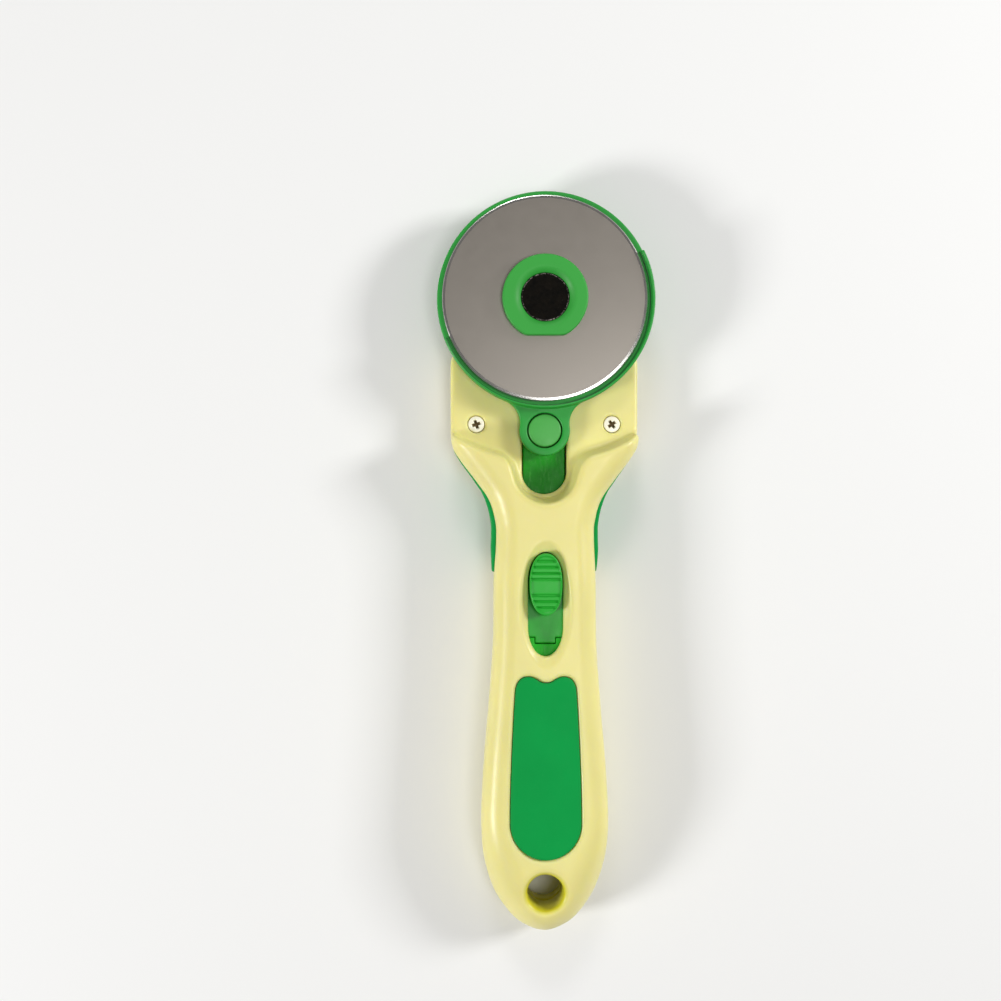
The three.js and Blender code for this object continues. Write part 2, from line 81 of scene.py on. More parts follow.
def travel(joint):
    """How far a sliding joint goes, in millimetres."""
    return next(j for j in frame["joints"] if j["name"] == joint)["range_m"][1] * 1000


BLADE_LOW, BLADE_HIGH = span("blade")
GUARD_LOW, GUARD_HIGH = span("blade_guard")
SHELL_LOW, SHELL_HIGH = span("front_shell")
PAD_LOW, PAD_HIGH = span("front_grip_pad")
BUTTON_LOW, BUTTON_HIGH = span("release_button")
CAP_LOW, CAP_HIGH = span("hub_cap")
MAGNET_LOW, MAGNET_HIGH = span("magnet")
KNOB_LOW, KNOB_HIGH = span("slide_knob")
BAR_LOW, BAR_HIGH = span("slide_bar")
NUT_LOW, NUT_HIGH = span("axle_nut")
BOLT_LOW, BOLT_HIGH = span("axle_bolt")
SCREW_LOW, SCREW_HIGH = span("head_screw_right")

BLADE_R = BLADE_HIGH[0]
HANDLE_END_Y = SHELL_LOW[1]
HANDLE_TOP_Z = SHELL_HIGH[2]
PARTING_Z = SHELL_LOW[2] - 0.1
GUARD_R = GUARD_HIGH[0]
GUARD_CENTRE_Y = GUARD_HIGH[1] - GUARD_R
GUARD_LEAN = 0.25
PIVOT_Y = (BUTTON_LOW[1] + BUTTON_HIGH[1]) / 2
KNOB_Y = (KNOB_LOW[1] + KNOB_HIGH[1]) / 2
SCREW_X = (SCREW_LOW[0] + SCREW_HIGH[0]) / 2
SCREW_Y = (SCREW_LOW[1] + SCREW_HIGH[1]) / 2

HEAD_FLOOR_Z = 11.5
LUG_R = 7.4
GUARD_FILLET_R = 7.0
GUARD_WALL_R = 30.95
GUARD_LEDGE_R = 28.8
LUG_TOP_Z = 15.0
LOW_RIM_TOP_Z = 15.2
WALL_FROM, WALL_TO = -158.6, 27.1
SLOT_HALF = 6.55
SLOT_TOP_Y, SLOT_END_Y = -31, -57.15
THUMB_HALF = 5.08
THUMB_TOP_Y, THUMB_END_Y = -73.9, -104.1
HOLE_Y, HOLE_R = -172.4, 5.25
FRONT_ROUND, BACK_ROUND, END_ROUND = 6.4, 5.0, 13.2
REST_TOP_Y, REST_END_Y = -43.2, -80.3
REST_MID_Z = 9.0


# ---- signed distances ------------------------------------------------------------------------


def smax(a, b, k):
    """The larger of two distances, its crease rounded over about k: the meeting of two solids."""
    h = np.clip(0.5 + 0.5 * (a - b) / k, 0, 1)
    return b + (a - b) * h + k * h * (1 - h)


def smin(a, b, k):
    """The smaller of two distances, rounded the same way: the join of two solids."""
    return -smax(-a, -b, k)


def cut(body, tool, k):
    """body with tool taken out of it, the edge rounded over about k."""
    return smax(body, -tool, k)


def lines(*runs):
    """Grid lines along one axis, from runs of (start, end, spacing) that follow each other."""
    places = [runs[0][0]]
    for start, end, spacing in runs:
        count = max(1, round(abs(end - start) / spacing))
        places += list(np.linspace(start, end, count + 1)[1:])
    return np.array(places)


class Grid:
    def __init__(self, x, y, z):
        self.lines = [np.asarray(run, float) for run in (x, y, z)]
        self.x = self.lines[0].astype(np.float32)[:, None, None]
        self.y = self.lines[1].astype(np.float32)[None, :, None]
        self.z = self.lines[2].astype(np.float32)[None, None, :]


class Turned:
    """A grid's plan places as read from a frame that is turned about (x, y)."""

    def __init__(self, grid, x, y, degrees):
        c, s = math.cos(math.radians(degrees)), math.sin(math.radians(degrees))
        across, along = grid.x - x, grid.y - y
        self.x = x + across * c + along * s
        self.y = y - across * s + along * c
        self.z = grid.z


def even_grid(low, high, spacing):
    return Grid(*(lines((a - 2 * spacing, b + 2 * spacing, spacing)) for a, b in zip(low, high)))


def plan_distance(points, grid):
    """The distance in plan from a closed outline, negative inside it."""
    x = np.broadcast_to(grid.x[..., 0], (grid.x.shape[0], grid.y.shape[1]))
    y = np.broadcast_to(grid.y[..., 0], x.shape)
    nearest = np.full(x.shape, 1e9, np.float32)
    inside = np.zeros(x.shape, bool)
    points = np.asarray(points, np.float32)
    for (ax, ay), (bx, by) in zip(points, np.roll(points, -1, axis=0)):
        ex, ey = bx - ax, by - ay
        length = ex * ex + ey * ey
        if length < 1e-12:
            continue
        px, py = x - ax, y - ay
        t = np.clip((px * ex + py * ey) / length, 0, 1)
        nearest = np.minimum(nearest, (px - t * ex) ** 2 + (py - t * ey) ** 2)
        if abs(ey) > 1e-9:
            crossing = ((ay > y) != (by > y)) & (x < ex * (y - ay) / ey + ax)
            inside ^= crossing
    distance = np.sqrt(nearest)
    return np.where(inside, -distance, distance)[..., None]


def slab(plan, z, z0, z1, round0, round1):
    """A plan outline between two heights, its lower and upper edges rounded to those radii."""

    def half(rise, radius):
        a = np.maximum(plan + radius, 0)
        b = np.maximum(rise + radius, 0)
        return np.sqrt(a * a + b * b) - radius + np.minimum(np.maximum(plan + radius, rise + radius), 0)

    return np.maximum(half(z - z1, round1), half(z0 - z, round0))


def ellipsoid(grid, centre, radii):
    scaled = [(axis - c) / r for axis, c, r in zip((grid.x, grid.y, grid.z), centre, radii)]
    k0 = np.sqrt(sum(s * s for s in scaled))
    k1 = np.sqrt(sum((s / r) ** 2 for s, r in zip(scaled, radii))) + 1e-6
    return k0 * (k0 - 1) / k1


def disc(grid, radius, x=0.0, y=0.0):
    return np.hypot(grid.x - x, grid.y - y) - radius


def oblong(grid, half, y0, y1):
    """A rectangle in plan, as wide on the left of the middle line as on the right."""
    return np.maximum(np.abs(grid.x) - half, np.maximum(y0 - grid.y, grid.y - y1))


def between(grid, z0, z1):
    """The layer between two heights."""
    return np.maximum(z0 - grid.z, grid.z - z1)


# ---- outlines --------------------------------------------------------------------------------


def arc(x, y, radius, start, end, steps):
    turn = np.radians(np.linspace(start, end, steps + 1))
    return [(x + radius * math.cos(a), y + radius * math.sin(a)) for a in turn]


def smooth_path(points, per_span=8):
    """A Catmull-Rom curve through the points, ends included."""
    p = np.asarray([points[0], *points, points[-1]], float)
    t = np.linspace(0, 1, per_span, endpoint=False)[:, None]
    runs = []
    for a, b, c, d in zip(p, p[1:], p[2:], p[3:]):
        runs.append(
            0.5 * (2 * b + (c - a) * t + (2 * a - 5 * b + 4 * c - d) * t**2 + (3 * b - a - 3 * c + d) * t**3)
        )
    return [tuple(q) for run in runs for q in run] + [tuple(points[-1])]


def mirrored(right):
    """A right-hand outline from top to bottom, and back up on the left."""
    return list(right) + [(-x, y) for x, y in reversed(right) if abs(x) > 1e-6]


SHOULDER_Y = -13.0
SIDE = [
    (27.6, -34), (27.2, -42.4), (24.9, -47), (20.4, -53), (16.4, -58.9), (14.6, -64.9),
    (14.3, -70), (14.8, -82.7), (15.0, -100.5), (16.2, -118.3), (17.7, -136.1),
    (18.5, -152.5), (17.9, -162.9), (15.6, -171.8), (12.5, -177.7), (7.4, -183.2),
]


def handle_outline():
    side = smooth_path(SIDE + [(0, HANDLE_END_Y)] + [(-x, y) for x, y in reversed(SIDE)], 10)
    return arc(-21.6, -19, 6, 180, 90, 8) + arc(21.6, -19, 6, 90, 0, 8) + side


FLOOR_EDGE = [
    (33, -39.0), (27.2, -39.0), (25.2, -39.5), (22.5, -41), (18.6, -42.7), (15, -43.9),
    (12.4, -44.7), (10.4, -46.1), (8.9, -48.2), (8.1, -50.6),
]


def floor_outline():
    right = [(33, -5)] + smooth_path(FLOOR_EDGE, 6) + arc(0, -50.6, 7.8, -8, -88, 14)
    return mirrored([(0, -5)] + right)


def slot_outline(half, top, end):
    return [(-half, top), (half, top)] + arc(0, end + half, half, 0, -180, 24)


def thumb_outline():
    """The thumb opening: straight sides and ends a little longer than half-round."""
    reach = 8.4
    upper = [(x, THUMB_TOP_Y - reach + y * reach / THUMB_HALF) for x, y in arc(0, 0, THUMB_HALF, 180, 0, 24)]
    lower = [(x, THUMB_END_Y + reach + y * reach / THUMB_HALF) for x, y in arc(0, 0, THUMB_HALF, 0, -180, 24)]
    return upper + lower


PAD_END_R, PAD_END_CENTRE_Y = 10.3, -152.2
PAD_TOP = [
    (0, -111.55), (1.6, -111.25), (3.3, -110.2), (5.2, -109.75), (7.2, -110.4), (8.5, -112.4), (8.9, -115.5),
]
PAD_FLANK = [(9.4, -124), (9.95, -136), (10.25, -147)]


def pad_outline():
    top = smooth_path([(-1.6, -111.25)] + PAD_TOP + PAD_FLANK + [(PAD_END_R, PAD_END_CENTRE_Y)], 8)
    right = [p for p in top if p[0] >= 0]
    return mirrored(right + arc(0, PAD_END_CENTRE_Y, PAD_END_R, 0, -90, 20))


def guard_outline(disc_r):
    """The cover's disc and its pivot lug, joined by two concave fillets."""
    reach = GUARD_CENTRE_Y - PIVOT_Y
    disc_side, lug_side = disc_r + GUARD_FILLET_R, LUG_R + GUARD_FILLET_R
    drop = (disc_side**2 - lug_side**2 + reach**2) / (2 * reach)
    x = math.sqrt(disc_side**2 - drop**2)
    y = GUARD_CENTRE_Y - drop
    on_disc = math.degrees(math.atan2(-drop, x))
    on_lug = math.degrees(math.atan2(y - PIVOT_Y, x))
    return (
        arc(0, GUARD_CENTRE_Y, disc_r, on_disc, 180 - on_disc, 220)
        + arc(-x, y, GUARD_FILLET_R, -on_disc, -on_lug, 16)
        + arc(0, PIVOT_Y, LUG_R, 180 - on_lug, 360 + on_lug, 60)
        + arc(x, y, GUARD_FILLET_R, 180 + on_lug, 180 + on_disc, 16)
    )


# ---- meshes ----------------------------------------------------------------------------------


def sample(field, place):
    """A field's value at places given in grid steps."""
    top = np.array(field.shape) - 2
    base = np.clip(np.floor(place).astype(np.int64), 0, top)
    t = (place - base).astype(np.float32)
    total = np.zeros(len(place), np.float32)
    for i in (0, 1):
        for j in (0, 1):
            for k in (0, 1):
                weight = (
                    (t[:, 0] if i else 1 - t[:, 0])
                    * (t[:, 1] if j else 1 - t[:, 1])
                    * (t[:, 2] if k else 1 - t[:, 2])
                )
                total += weight * field[base[:, 0] + i, base[:, 1] + j, base[:, 2] + k]
    return total


def settle(field, grid, place, rounds=3):
    """Moves surface points along the field's slope until they lie on the surface."""
    gaps = [np.gradient(run) for run in grid.lines]
    for _ in range(rounds):
        value = sample(field, place)
        slope = np.empty_like(place)
        for axis in range(3):
            step = np.zeros(3)
            step[axis] = 0.5
            slope[:, axis] = sample(field, place + step) - sample(field, place - step)
        gap = np.stack([g[np.clip(np.rint(place[:, n]).astype(int), 0, len(g) - 1)]
                        for n, g in enumerate(gaps)], 1)
        size = ((slope / gap) ** 2).sum(1) + 1e-9
        place = place - np.clip(value[:, None] * slope / gap**2 / size[:, None], -0.4, 0.4)
    return place


def surface(grid, field):
    """Points and four-sided faces where the field crosses nought, one point to each grid cell."""
    field = field.astype(np.float32)
    inside = field < 0
    shape = field.shape
    count = np.zeros([n - 1 for n in shape], np.int8)
    for i in (0, 1):
        for j in (0, 1):
            for k in (0, 1):
                count += inside[i : shape[0] - 1 + i, j : shape[1] - 1 + j, k : shape[2] - 1 + k]
    mixed = (count > 0) & (count < 8)
    cells = np.argwhere(mixed)
    index = np.full(mixed.shape, -1, np.int32)
    index[mixed] = np.arange(len(cells))
    total, hits = np.zeros((len(cells), 3)), np.zeros(len(cells))
    for axis in range(3):
        others = [n for n in range(3) if n != axis]
        for a in (0, 1):
            for b in (0, 1):
                start = np.zeros(3, int)
                start[others] = a, b
                end = start.copy()
                end[axis] = 1
                f0, f1 = field[tuple((cells + start).T)], field[tuple((cells + end).T)]
                crossed = (f0 < 0) != (f1 < 0)
                t = f0[crossed] / (f0[crossed] - f1[crossed])
                point = np.tile(start.astype(float), (crossed.sum(), 1))
                point[:, axis] = t
                total[crossed] += point
                hits[crossed] += 1
    place = settle(field, grid, cells + total / hits[:, None])
    rings = []
    for axis in range(3):
        u, v = (axis + 1) % 3, (axis + 2) % 3
        first = inside[tuple(slice(0, -1) if n == axis else slice(1, -1) for n in range(3))]
        second = inside[tuple(slice(1, None) if n == axis else slice(1, -1) for n in range(3))]
        at = np.argwhere(first != second)
        outward = first[tuple(at.T)]
        node = at.copy()
        node[:, u] += 1
        node[:, v] += 1
        corners = []
        for du, dv in ((1, 1), (0, 1), (0, 0), (1, 0)):
            cell = node.copy()
            cell[:, u] -= du
            cell[:, v] -= dv
            corners.append(index[tuple(cell.T)])
        ring = np.stack(corners, 1)
        ring[~outward] = ring[~outward][:, ::-1]
        rings.append(ring)
    axes = [np.interp(place[:, n], np.arange(len(run)), run) for n, run in enumerate(grid.lines)]
    return np.stack(axes, 1), np.concatenate(rings)


def put(name, points, faces, material, body, crease=None):
    """Makes a piece of points and faces, in place of the CAD node that has the same name."""
    if isinstance(faces, np.ndarray):
        sizes, corners = np.full(len(faces), faces.shape[1]), faces.ravel()
    else:
        sizes, corners = np.array([len(face) for face in faces]), np.concatenate(faces)
    mesh = bpy.data.meshes.new(name)
    place = (np.asarray(points, float) + [0, AXIS_Y, 0]) / 1000
    mesh.vertices.add(len(place))
    mesh.vertices.foreach_set("co", place.astype(np.float32).ravel())
    mesh.loops.add(len(corners))
    mesh.loops.foreach_set("vertex_index", corners.astype(np.int32))
    mesh.polygons.add(len(sizes))
    mesh.polygons.foreach_set("loop_start", (np.cumsum(sizes) - sizes).astype(np.int32))
    mesh.update(calc_edges=True)
    mesh.polygons.foreach_set("use_smooth", np.full(len(sizes), True))
    if crease is not None:
        mesh.set_sharp_from_angle(angle=math.radians(crease))
    mesh.update()
    piece = bpy.data.objects.new(name, mesh)
    bpy.context.scene.collection.objects.link(piece)
    mesh.materials.append(material)
    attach(piece, body)
    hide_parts(name)
    return piece


def net(name, grid, field, material, body):
    points, faces = surface(grid, field)
    return put(name, points, faces, material, body)


def lathe(profile, steps):
    """A closed profile of (radius, height) turned about the blade's axis."""
    turn = 2 * np.pi * np.arange(steps) / steps
    points, faces = [], []
    rings = []
    for radius, z in profile:
        if radius < 1e-6:
            rings.append([len(points)] * steps)
            points.append((0, 0, z))
            continue
        rings.append(list(range(len(points), len(points) + steps)))
        points += [(radius * math.cos(a), radius * math.sin(a), z) for a in turn]
    closed = profile[0][0] > 1e-6
    pairs = list(zip(rings, rings[1:])) + ([(rings[-1], rings[0])] if closed else [])
    for low, high in pairs:
        for i in range(steps):
            j = (i + 1) % steps
            corners = (low[i], low[j], high[j], high[i])
            faces.append([c for n, c in enumerate(corners) if c != corners[n - 1]])
    return points, faces


# ---- materials -------------------------------------------------------------------------------


def linear(red, green, blue):
    """A screen colour, 0 to 255, as the shader's own values."""
    values = [c / 255 for c in (red, green, blue)]
    return tuple(c / 12.92 if c <= 0.04045 else ((c + 0.055) / 1.055) ** 2.4 for c in values)


class Look:
    """A material built from a Principled shader and noises laid out in the object's own metres."""

    def __init__(self, name, colour, roughness, metallic=0.0, **sockets):
        self.material = bpy.data.materials.new(name)
        self.material.use_nodes = True
        self.tree = self.material.node_tree
        self.shader = self.tree.nodes["Principled BSDF"]
        self.shader.inputs["Base Color"].default_value = (*colour, 1)
        self.shader.inputs["Roughness"].default_value = roughness
        self.shader.inputs["Metallic"].default_value = metallic
        for socket, value in sockets.items():
            self.shader.inputs[socket.replace("_", " ")].default_value = value
        self.place = self.tree.nodes.new("ShaderNodeTexCoord").outputs["Object"]

    def node(self, kind, inputs=(), **settings):
        made = self.tree.nodes.new("ShaderNode" + kind)
        for key, value in settings.items():
            setattr(made, key, value)
        for socket, value in dict(inputs).items():
            if isinstance(value, bpy.types.NodeSocket):
                self.tree.links.new(value, made.inputs[socket])
            else:
                made.inputs[socket].default_value = value
        return made

    def compute(self, operation, first, second=0.0):
        return self.node("Math", {0: first, 1: second}, operation=operation).outputs[0]

    def along(self, axis):
        """Each place's distance along one of the object's axes."""
        return self.node("SeparateXYZ", {"Vector": self.place}).outputs[axis]

    def offset(self, y):
        """Each place's offset in plan from the vertical line through (0, y)."""
        flat = self.node("Mapping", {"Vector": self.place, "Scale": (1, 1, 0)}).outputs["Vector"]
        line = (0, (AXIS_Y + y) / 1000, 0)
        return self.node("VectorMath", {0: flat, 1: line}, operation="SUBTRACT").outputs["Vector"]

    def length(self, vector):
        return self.node("VectorMath", {0: vector}, operation="LENGTH").outputs["Value"]

    def base(self):
        """The colour wired to the shader so far."""
        return self.shader.inputs["Base Color"].links[0].from_socket

    def noise(self, size, detail=3.0, rough=0.5, stretch=None):
        """A noise whose features are about size millimetres across, stretched along an axis or not."""
        place = self.place
        if stretch:
            place = self.node("Mapping", {"Vector": place, "Scale": stretch}).outputs["Vector"]
        return self.node(
            "TexNoise",
            {"Vector": place, "Scale": 1000 / size, "Detail": detail, "Roughness": rough},
        ).outputs["Fac"]

    def spread(self, value, low, high, start=0.3, end=0.7):
        """A value from start to end turned into low to high."""
        return self.node(
            "MapRange",
            {"Value": value, "From Min": start, "From Max": end, "To Min": low, "To Max": high},
        ).outputs["Result"]

    def blend(self, mask, first, second):
        mix = self.node("Mix", data_type="RGBA")
        for socket, value in ((0, mask), (6, first), (7, second)):
            if isinstance(value, bpy.types.NodeSocket):
                self.tree.links.new(value, mix.inputs[socket])
            else:
                mix.inputs[socket].default_value = (*value, 1) if socket else value
        return mix.outputs[2]

    def wire(self, socket, value):
        self.tree.links.new(value, self.shader.inputs[socket])

    def bump(self, height, depth, over=None):
        """Bumps of a depth in millimetres."""
        inputs = {"Height": height, "Strength": 1.0, "Distance": depth / 1000}
        if over is not None:
            inputs["Normal"] = over
        return self.node("Bump", inputs).outputs["Normal"]


def shade(colour, amount):
    return tuple(min(1.0, c * amount) for c in colour)


def moulded(name, colour, roughness, grain=0.012, **sockets):
    """Moulded plastic: a faint drift of colour, a fine spark-eroded grain and uneven gloss."""
    look = Look(name, colour, roughness, **sockets)
    drift = look.spread(look.noise(28, 2), 0, 1)
    tone = look.blend(drift, shade(colour, 0.955), shade(colour, 1.03))
    speck = look.spread(look.noise(0.22, 2, 0.6), 0, 1, 0.7, 0.8)
    look.wire("Base Color", look.blend(speck, tone, shade(colour, 0.955)))
    look.wire("Roughness", look.spread(look.noise(3.5, 5, 0.6), roughness - 0.05, roughness + 0.07))
    fine = look.bump(look.noise(0.32, 3, 0.6), grain)
    look.wire("Normal", look.bump(look.noise(5, 2), 0.01, fine))
    return look


YELLOW = linear(232, 223, 146)
# painted shade for the inside of the hang hole
HOLE_SHADE_YELLOW = linear(214, 208, 52)
MILKY = {
    "Subsurface_Weight": 0.5,
    "Subsurface_Radius": (1.0, 0.85, 0.2),
    "Subsurface_Scale": 0.003,
}
GREEN = linear(50, 166, 56)
PAD_GREEN = linear(0, 151, 66)


def milky_yellow():
    """The handle's yellow, and a deeper yellow painted down in the hang hole as the hole's shade."""
    look = moulded("yellow_plastic", YELLOW, 0.35, **MILKY)
    reach = look.length(look.offset(HOLE_Y))
    # painted shade: the hole's wall is given a deeper, more saturated yellow
    near = look.spread(reach, 1, 0, (HOLE_R + 0.3) / 1000, (HOLE_R + 1.5) / 1000)
    look.wire("Base Color", look.blend(near, look.base(), HOLE_SHADE_YELLOW))
    return look.material


def shadowed_guard_green():
    """The cover's green, with a painted shadow line in the corner where its high wall meets the rim."""
    look = moulded("guard_plastic", linear(30, 150, 50), 0.42)
    out = look.offset(GUARD_CENTRE_Y)
    off = look.compute("SUBTRACT", look.length(out), (GUARD_WALL_R - 0.08) / 1000)
    line = look.spread(look.compute("ABSOLUTE", off), 1, 0, 0.0001, 0.00026)
    middle = math.radians((WALL_FROM + WALL_TO) / 2)
    facing = (math.cos(middle), math.sin(middle), 0)
    to_wall = look.node("VectorMath", {0: out, 1: facing}, operation="DOT_PRODUCT").outputs["Value"]
    walled = look.spread(to_wall, 0, 1, -0.0016, -0.0012)
    front = look.spread(look.along("Z"), 0, 1, 0.0142, 0.0146)
    # painted shadow: a dark green line along the foot of the high wall's inner face
    painted_wall_shadow = look.compute("MULTIPLY", look.compute("MULTIPLY", line, walled), front)
    look.wire("Base Color", look.blend(painted_wall_shadow, look.base(), linear(4, 84, 28)))
    return look.material


def soft_rubber():
    look = Look("green_rubber", PAD_GREEN, 0.62, Sheen_Weight=0.05, Specular_IOR_Level=0.12)
    drift = look.spread(look.noise(22, 3), 0, 1)
    tone = look.blend(drift, shade(PAD_GREEN, 0.93), shade(PAD_GREEN, 1.06))
    dust = look.spread(look.noise(0.35, 2, 0.5), 0, 0.35, 0.7, 0.8)
    look.wire("Base Color", look.blend(dust, tone, linear(60, 165, 95)))
    look.wire("Roughness", look.spread(look.noise(2.5, 5, 0.65), 0.55, 0.72))
    look.wire("Normal", look.bump(look.noise(0.28, 3, 0.65), 0.03))
    return look.material


def scuffed_and_shaded_green():
    """The bar's plastic, scratched pale along its travel, and darker towards the slot's closed end: painted
    shade from the slot's end wall, with some dirt.
    """
    look = Look("green_bar", GREEN, 0.4, Specular_IOR_Level=0.3)
    deepest_shade_y, scuff = -57, linear(96, 190, 90)
    # painted shade with some dirt: darker near the slot's closed end, lighter away from it
    from_end = look.compute("SUBTRACT", look.along("Y"), (AXIS_Y + deepest_shade_y) / 1000)
    up = look.spread(look.compute("ABSOLUTE", from_end), 0, 1, 0.003, 0.013)
    tone = look.blend(up, linear(8, 130, 6), linear(24, 176, 28))
    scratches = look.spread(look.noise(1.1, 5, 0.75, (1.5, 0.4, 1)), 0, 0.45, 0.53, 0.7)
    crossed = look.spread(look.noise(0.9, 5, 0.75, (0.8, 1.8, 1)), 0, 0.35, 0.57, 0.72)
    marked = look.blend(scratches, tone, scuff)
    look.wire("Base Color", look.blend(crossed, marked, scuff))
    look.wire("Roughness", look.spread(look.noise(1.2, 5, 0.7, (1.6, 0.4, 1)), 0.32, 0.6))
    look.wire("Normal", look.bump(look.noise(0.7, 5, 0.7, (2.0, 0.3, 1)), 0.02))
    return look.material


def ground_steel(name, colour, roughness, size=0.3, depth=0.004, drift=0.03, gloss=0.03):
    """Bare steel with a fine grain, small pits and a slow drift of tone and gloss."""
    look = Look(name, colour, roughness, 1.0)
    slow = look.spread(look.noise(16, 3, 0.5), 0, 1)
    tone = look.blend(slow, shade(colour, 1 - drift), shade(colour, 1 + drift))
    pits = look.spread(look.noise(0.4, 3, 0.6), 0, 0.5, 0.7, 0.8)
    pitted = look.blend(pits, tone, shade(colour, 0.7))
    glints = look.spread(look.noise(0.55, 2, 0.6), 0, 0.35, 0.72, 0.8)
    look.wire("Base Color", look.blend(glints, pitted, shade(colour, 1.5)))
    look.wire("Roughness", look.spread(look.noise(3.0, 5, 0.6), roughness - gloss, roughness + gloss))
    look.wire("Normal", look.bump(look.noise(size, 4, 0.7), depth))
    return look.material


def recessed_nickel():
    """The screws' plating, painted dark brown down in the cross as the recess's shade."""
    look = Look("screw_nickel", linear(255, 250, 232), 0.5, 0.35)
    # painted shade: the plating turns dark brown below the cross's rim
    depth = look.spread(look.along("Z"), 1, 0, (SCREW_HIGH[2] - 0.75) / 1000, (SCREW_HIGH[2] - 0.4) / 1000)
    slow = look.blend(look.spread(look.noise(1.2, 3), 0, 1), linear(250, 244, 222), linear(255, 252, 238))
    look.wire("Base Color", look.blend(depth, slow, linear(112, 92, 52)))
    look.wire("Roughness", look.spread(look.noise(0.8, 4), 0.42, 0.56))
    look.wire("Normal", look.bump(look.noise(0.5, 3), 0.002))
    return look.material


def ferrite():
    """Sintered ferrite: near black and granular, its chipped rim painted pale as glints, and pale specks
    painted on as glinting grains.
    """
    look = Look("ferrite", linear(5, 5, 4), 0.75, Specular_IOR_Level=0.06)
    # painted glints: the chips round the rim are given a pale colour
    rim = look.spread(look.length(look.offset(0)), 0, 1, 0.00655, 0.0068)
    chips = look.spread(look.noise(0.45, 4, 0.8), 0, 1, 0.5, 0.58)
    chipped = look.compute("MULTIPLY", rim, chips)
    # painted glints: pale specks over the face for the grains catching light
    specks = look.spread(look.noise(0.3, 3, 0.8), 0, 0.5, 0.66, 0.76)
    cloud = look.blend(look.spread(look.noise(2.5, 4, 0.7), 0, 1), linear(4, 4, 3), linear(19, 15, 10))
    glint_specked = look.blend(specks, cloud, linear(96, 90, 82))
    look.wire("Base Color", look.blend(chipped, glint_specked, linear(165, 158, 150)))
    look.wire("Roughness", look.spread(look.noise(0.6, 4, 0.7), 0.5, 0.85))
    grains = look.node("TexVoronoi", {"Vector": look.place, "Scale": 4200.0}).outputs["Distance"]
    rough = look.bump(grains, 0.04)
    look.wire("Normal", look.bump(look.noise(0.9, 6, 0.75), 0.1, rough))
    return look.material


yellow_plastic = milky_yellow()
knob_plastic = moulded("green_plastic", linear(40, 170, 50), 0.32, Specular_IOR_Level=0.3).material
guard_plastic = shadowed_guard_green()
cap_plastic = moulded("cap_plastic", linear(46, 160, 54), 0.52).material
button_plastic = moulded("button_plastic", linear(70, 164, 70), 0.42).material
bar_plastic = scuffed_and_shaded_green()
rubber = soft_rubber()
blade_face = ground_steel("blade_face", linear(173, 166, 157), 0.35, 0.3, 0.003, 0.012, 0.01)
blade_bevel = ground_steel("blade_bevel", linear(196, 193, 189), 0.18, 0.3, 0.0004)
blade_edge = ground_steel("blade_edge", linear(238, 236, 232), 0.32, 2.2, 0.03, 0.1, 0.08)
nickel = ground_steel("nickel", linear(240, 234, 214), 0.33, 0.6, 0.001)
screw_nickel = recessed_nickel()
spring_steel = ground_steel("spring_steel", linear(150, 148, 145), 0.3, 0.2, 0.004)
magnet_black = ferrite()


# ---- handle ----------------------------------------------------------------------------------


def handle_body(grid, plan):
    """The handle's outline with rounded edges, the front one growing rounder towards the far end."""
    t = np.clip((-148 - grid.y) / 30, 0, 1)
    front = FRONT_ROUND + (END_ROUND - FRONT_ROUND) * t * t * (3 - 2 * t)
    return slab(plan, grid.z, 0.0, HANDLE_TOP_Z, BACK_ROUND, front)


LOW_RUN, LOW_RUN_Z = (6.9, -72, SLOT_TOP_Y), (5.0, 9.9)
HIGH_RUN, HIGH_RUN_Z = (7.3, -132, -64.6), (3.6, 17.8)


def bar_run(grid):
    """The hollow that the slide bar runs in: low through the head, high under the thumb opening."""
    low_run = np.maximum(oblong(grid, *LOW_RUN), between(grid, *LOW_RUN_Z))
    high_run = np.maximum(oblong(grid, *HIGH_RUN), between(grid, *HIGH_RUN_Z))
    return np.minimum(low_run, high_run)


REST_PROUD = ([-82, -79, -73, -68, -60, -56, -47, -43.2], [0.6, 0.8, 1.3, 1.3, 1.0, 0.45, 0.2, 0])
REST_HALF_HEIGHT = 6.2


def finger_rest(grid, plan, sign, grow=0.0):
    """A long lens of soft rubber let into the side of the neck, standing a little proud of it."""
    y = grid.y
    proud = np.interp(y.ravel(), *REST_PROUD).astype(np.float32).reshape(y.shape)
    t = (y - REST_END_Y) / (REST_TOP_Y - REST_END_Y)
    ends = np.minimum(np.clip(t * 5, -3, 1), np.clip((1 - t) * 2.2, -3, 1))
    height = REST_HALF_HEIGHT * np.where(ends > 0, np.sqrt(np.clip(ends * (2 - ends), 0, 1)), ends)
    body = smax(plan - proud - grow, -(plan + 1.4) - grow, 0.3)
    body = smax(body, np.abs(grid.z - REST_MID_Z) - height - grow, 1.2)
    body = smax(body, np.maximum(y - REST_TOP_Y, REST_END_Y - y) - grow, 0.8)
    return np.maximum(body, -sign * grid.x)


PARTING_GAP = 0.08
PAD_GAP, REST_GAP = 0.1, 0.12
FRONT_POCKET_DEPTH, BACK_POCKET_DEPTH = 1.7, 1.8
SCREW_HOLE_R = 1.5
SCREW_SEAT_R, SCREW_SEAT_Z = 2.6, 10.3
STEP_SLOPE = 0.16
DISH_CENTRE, DISH_RADII = (0, -88.9, HANDLE_TOP_Z + 1.6), (7.85, 19.6, 4.3)
THUMB_FLOOR_Z = 12


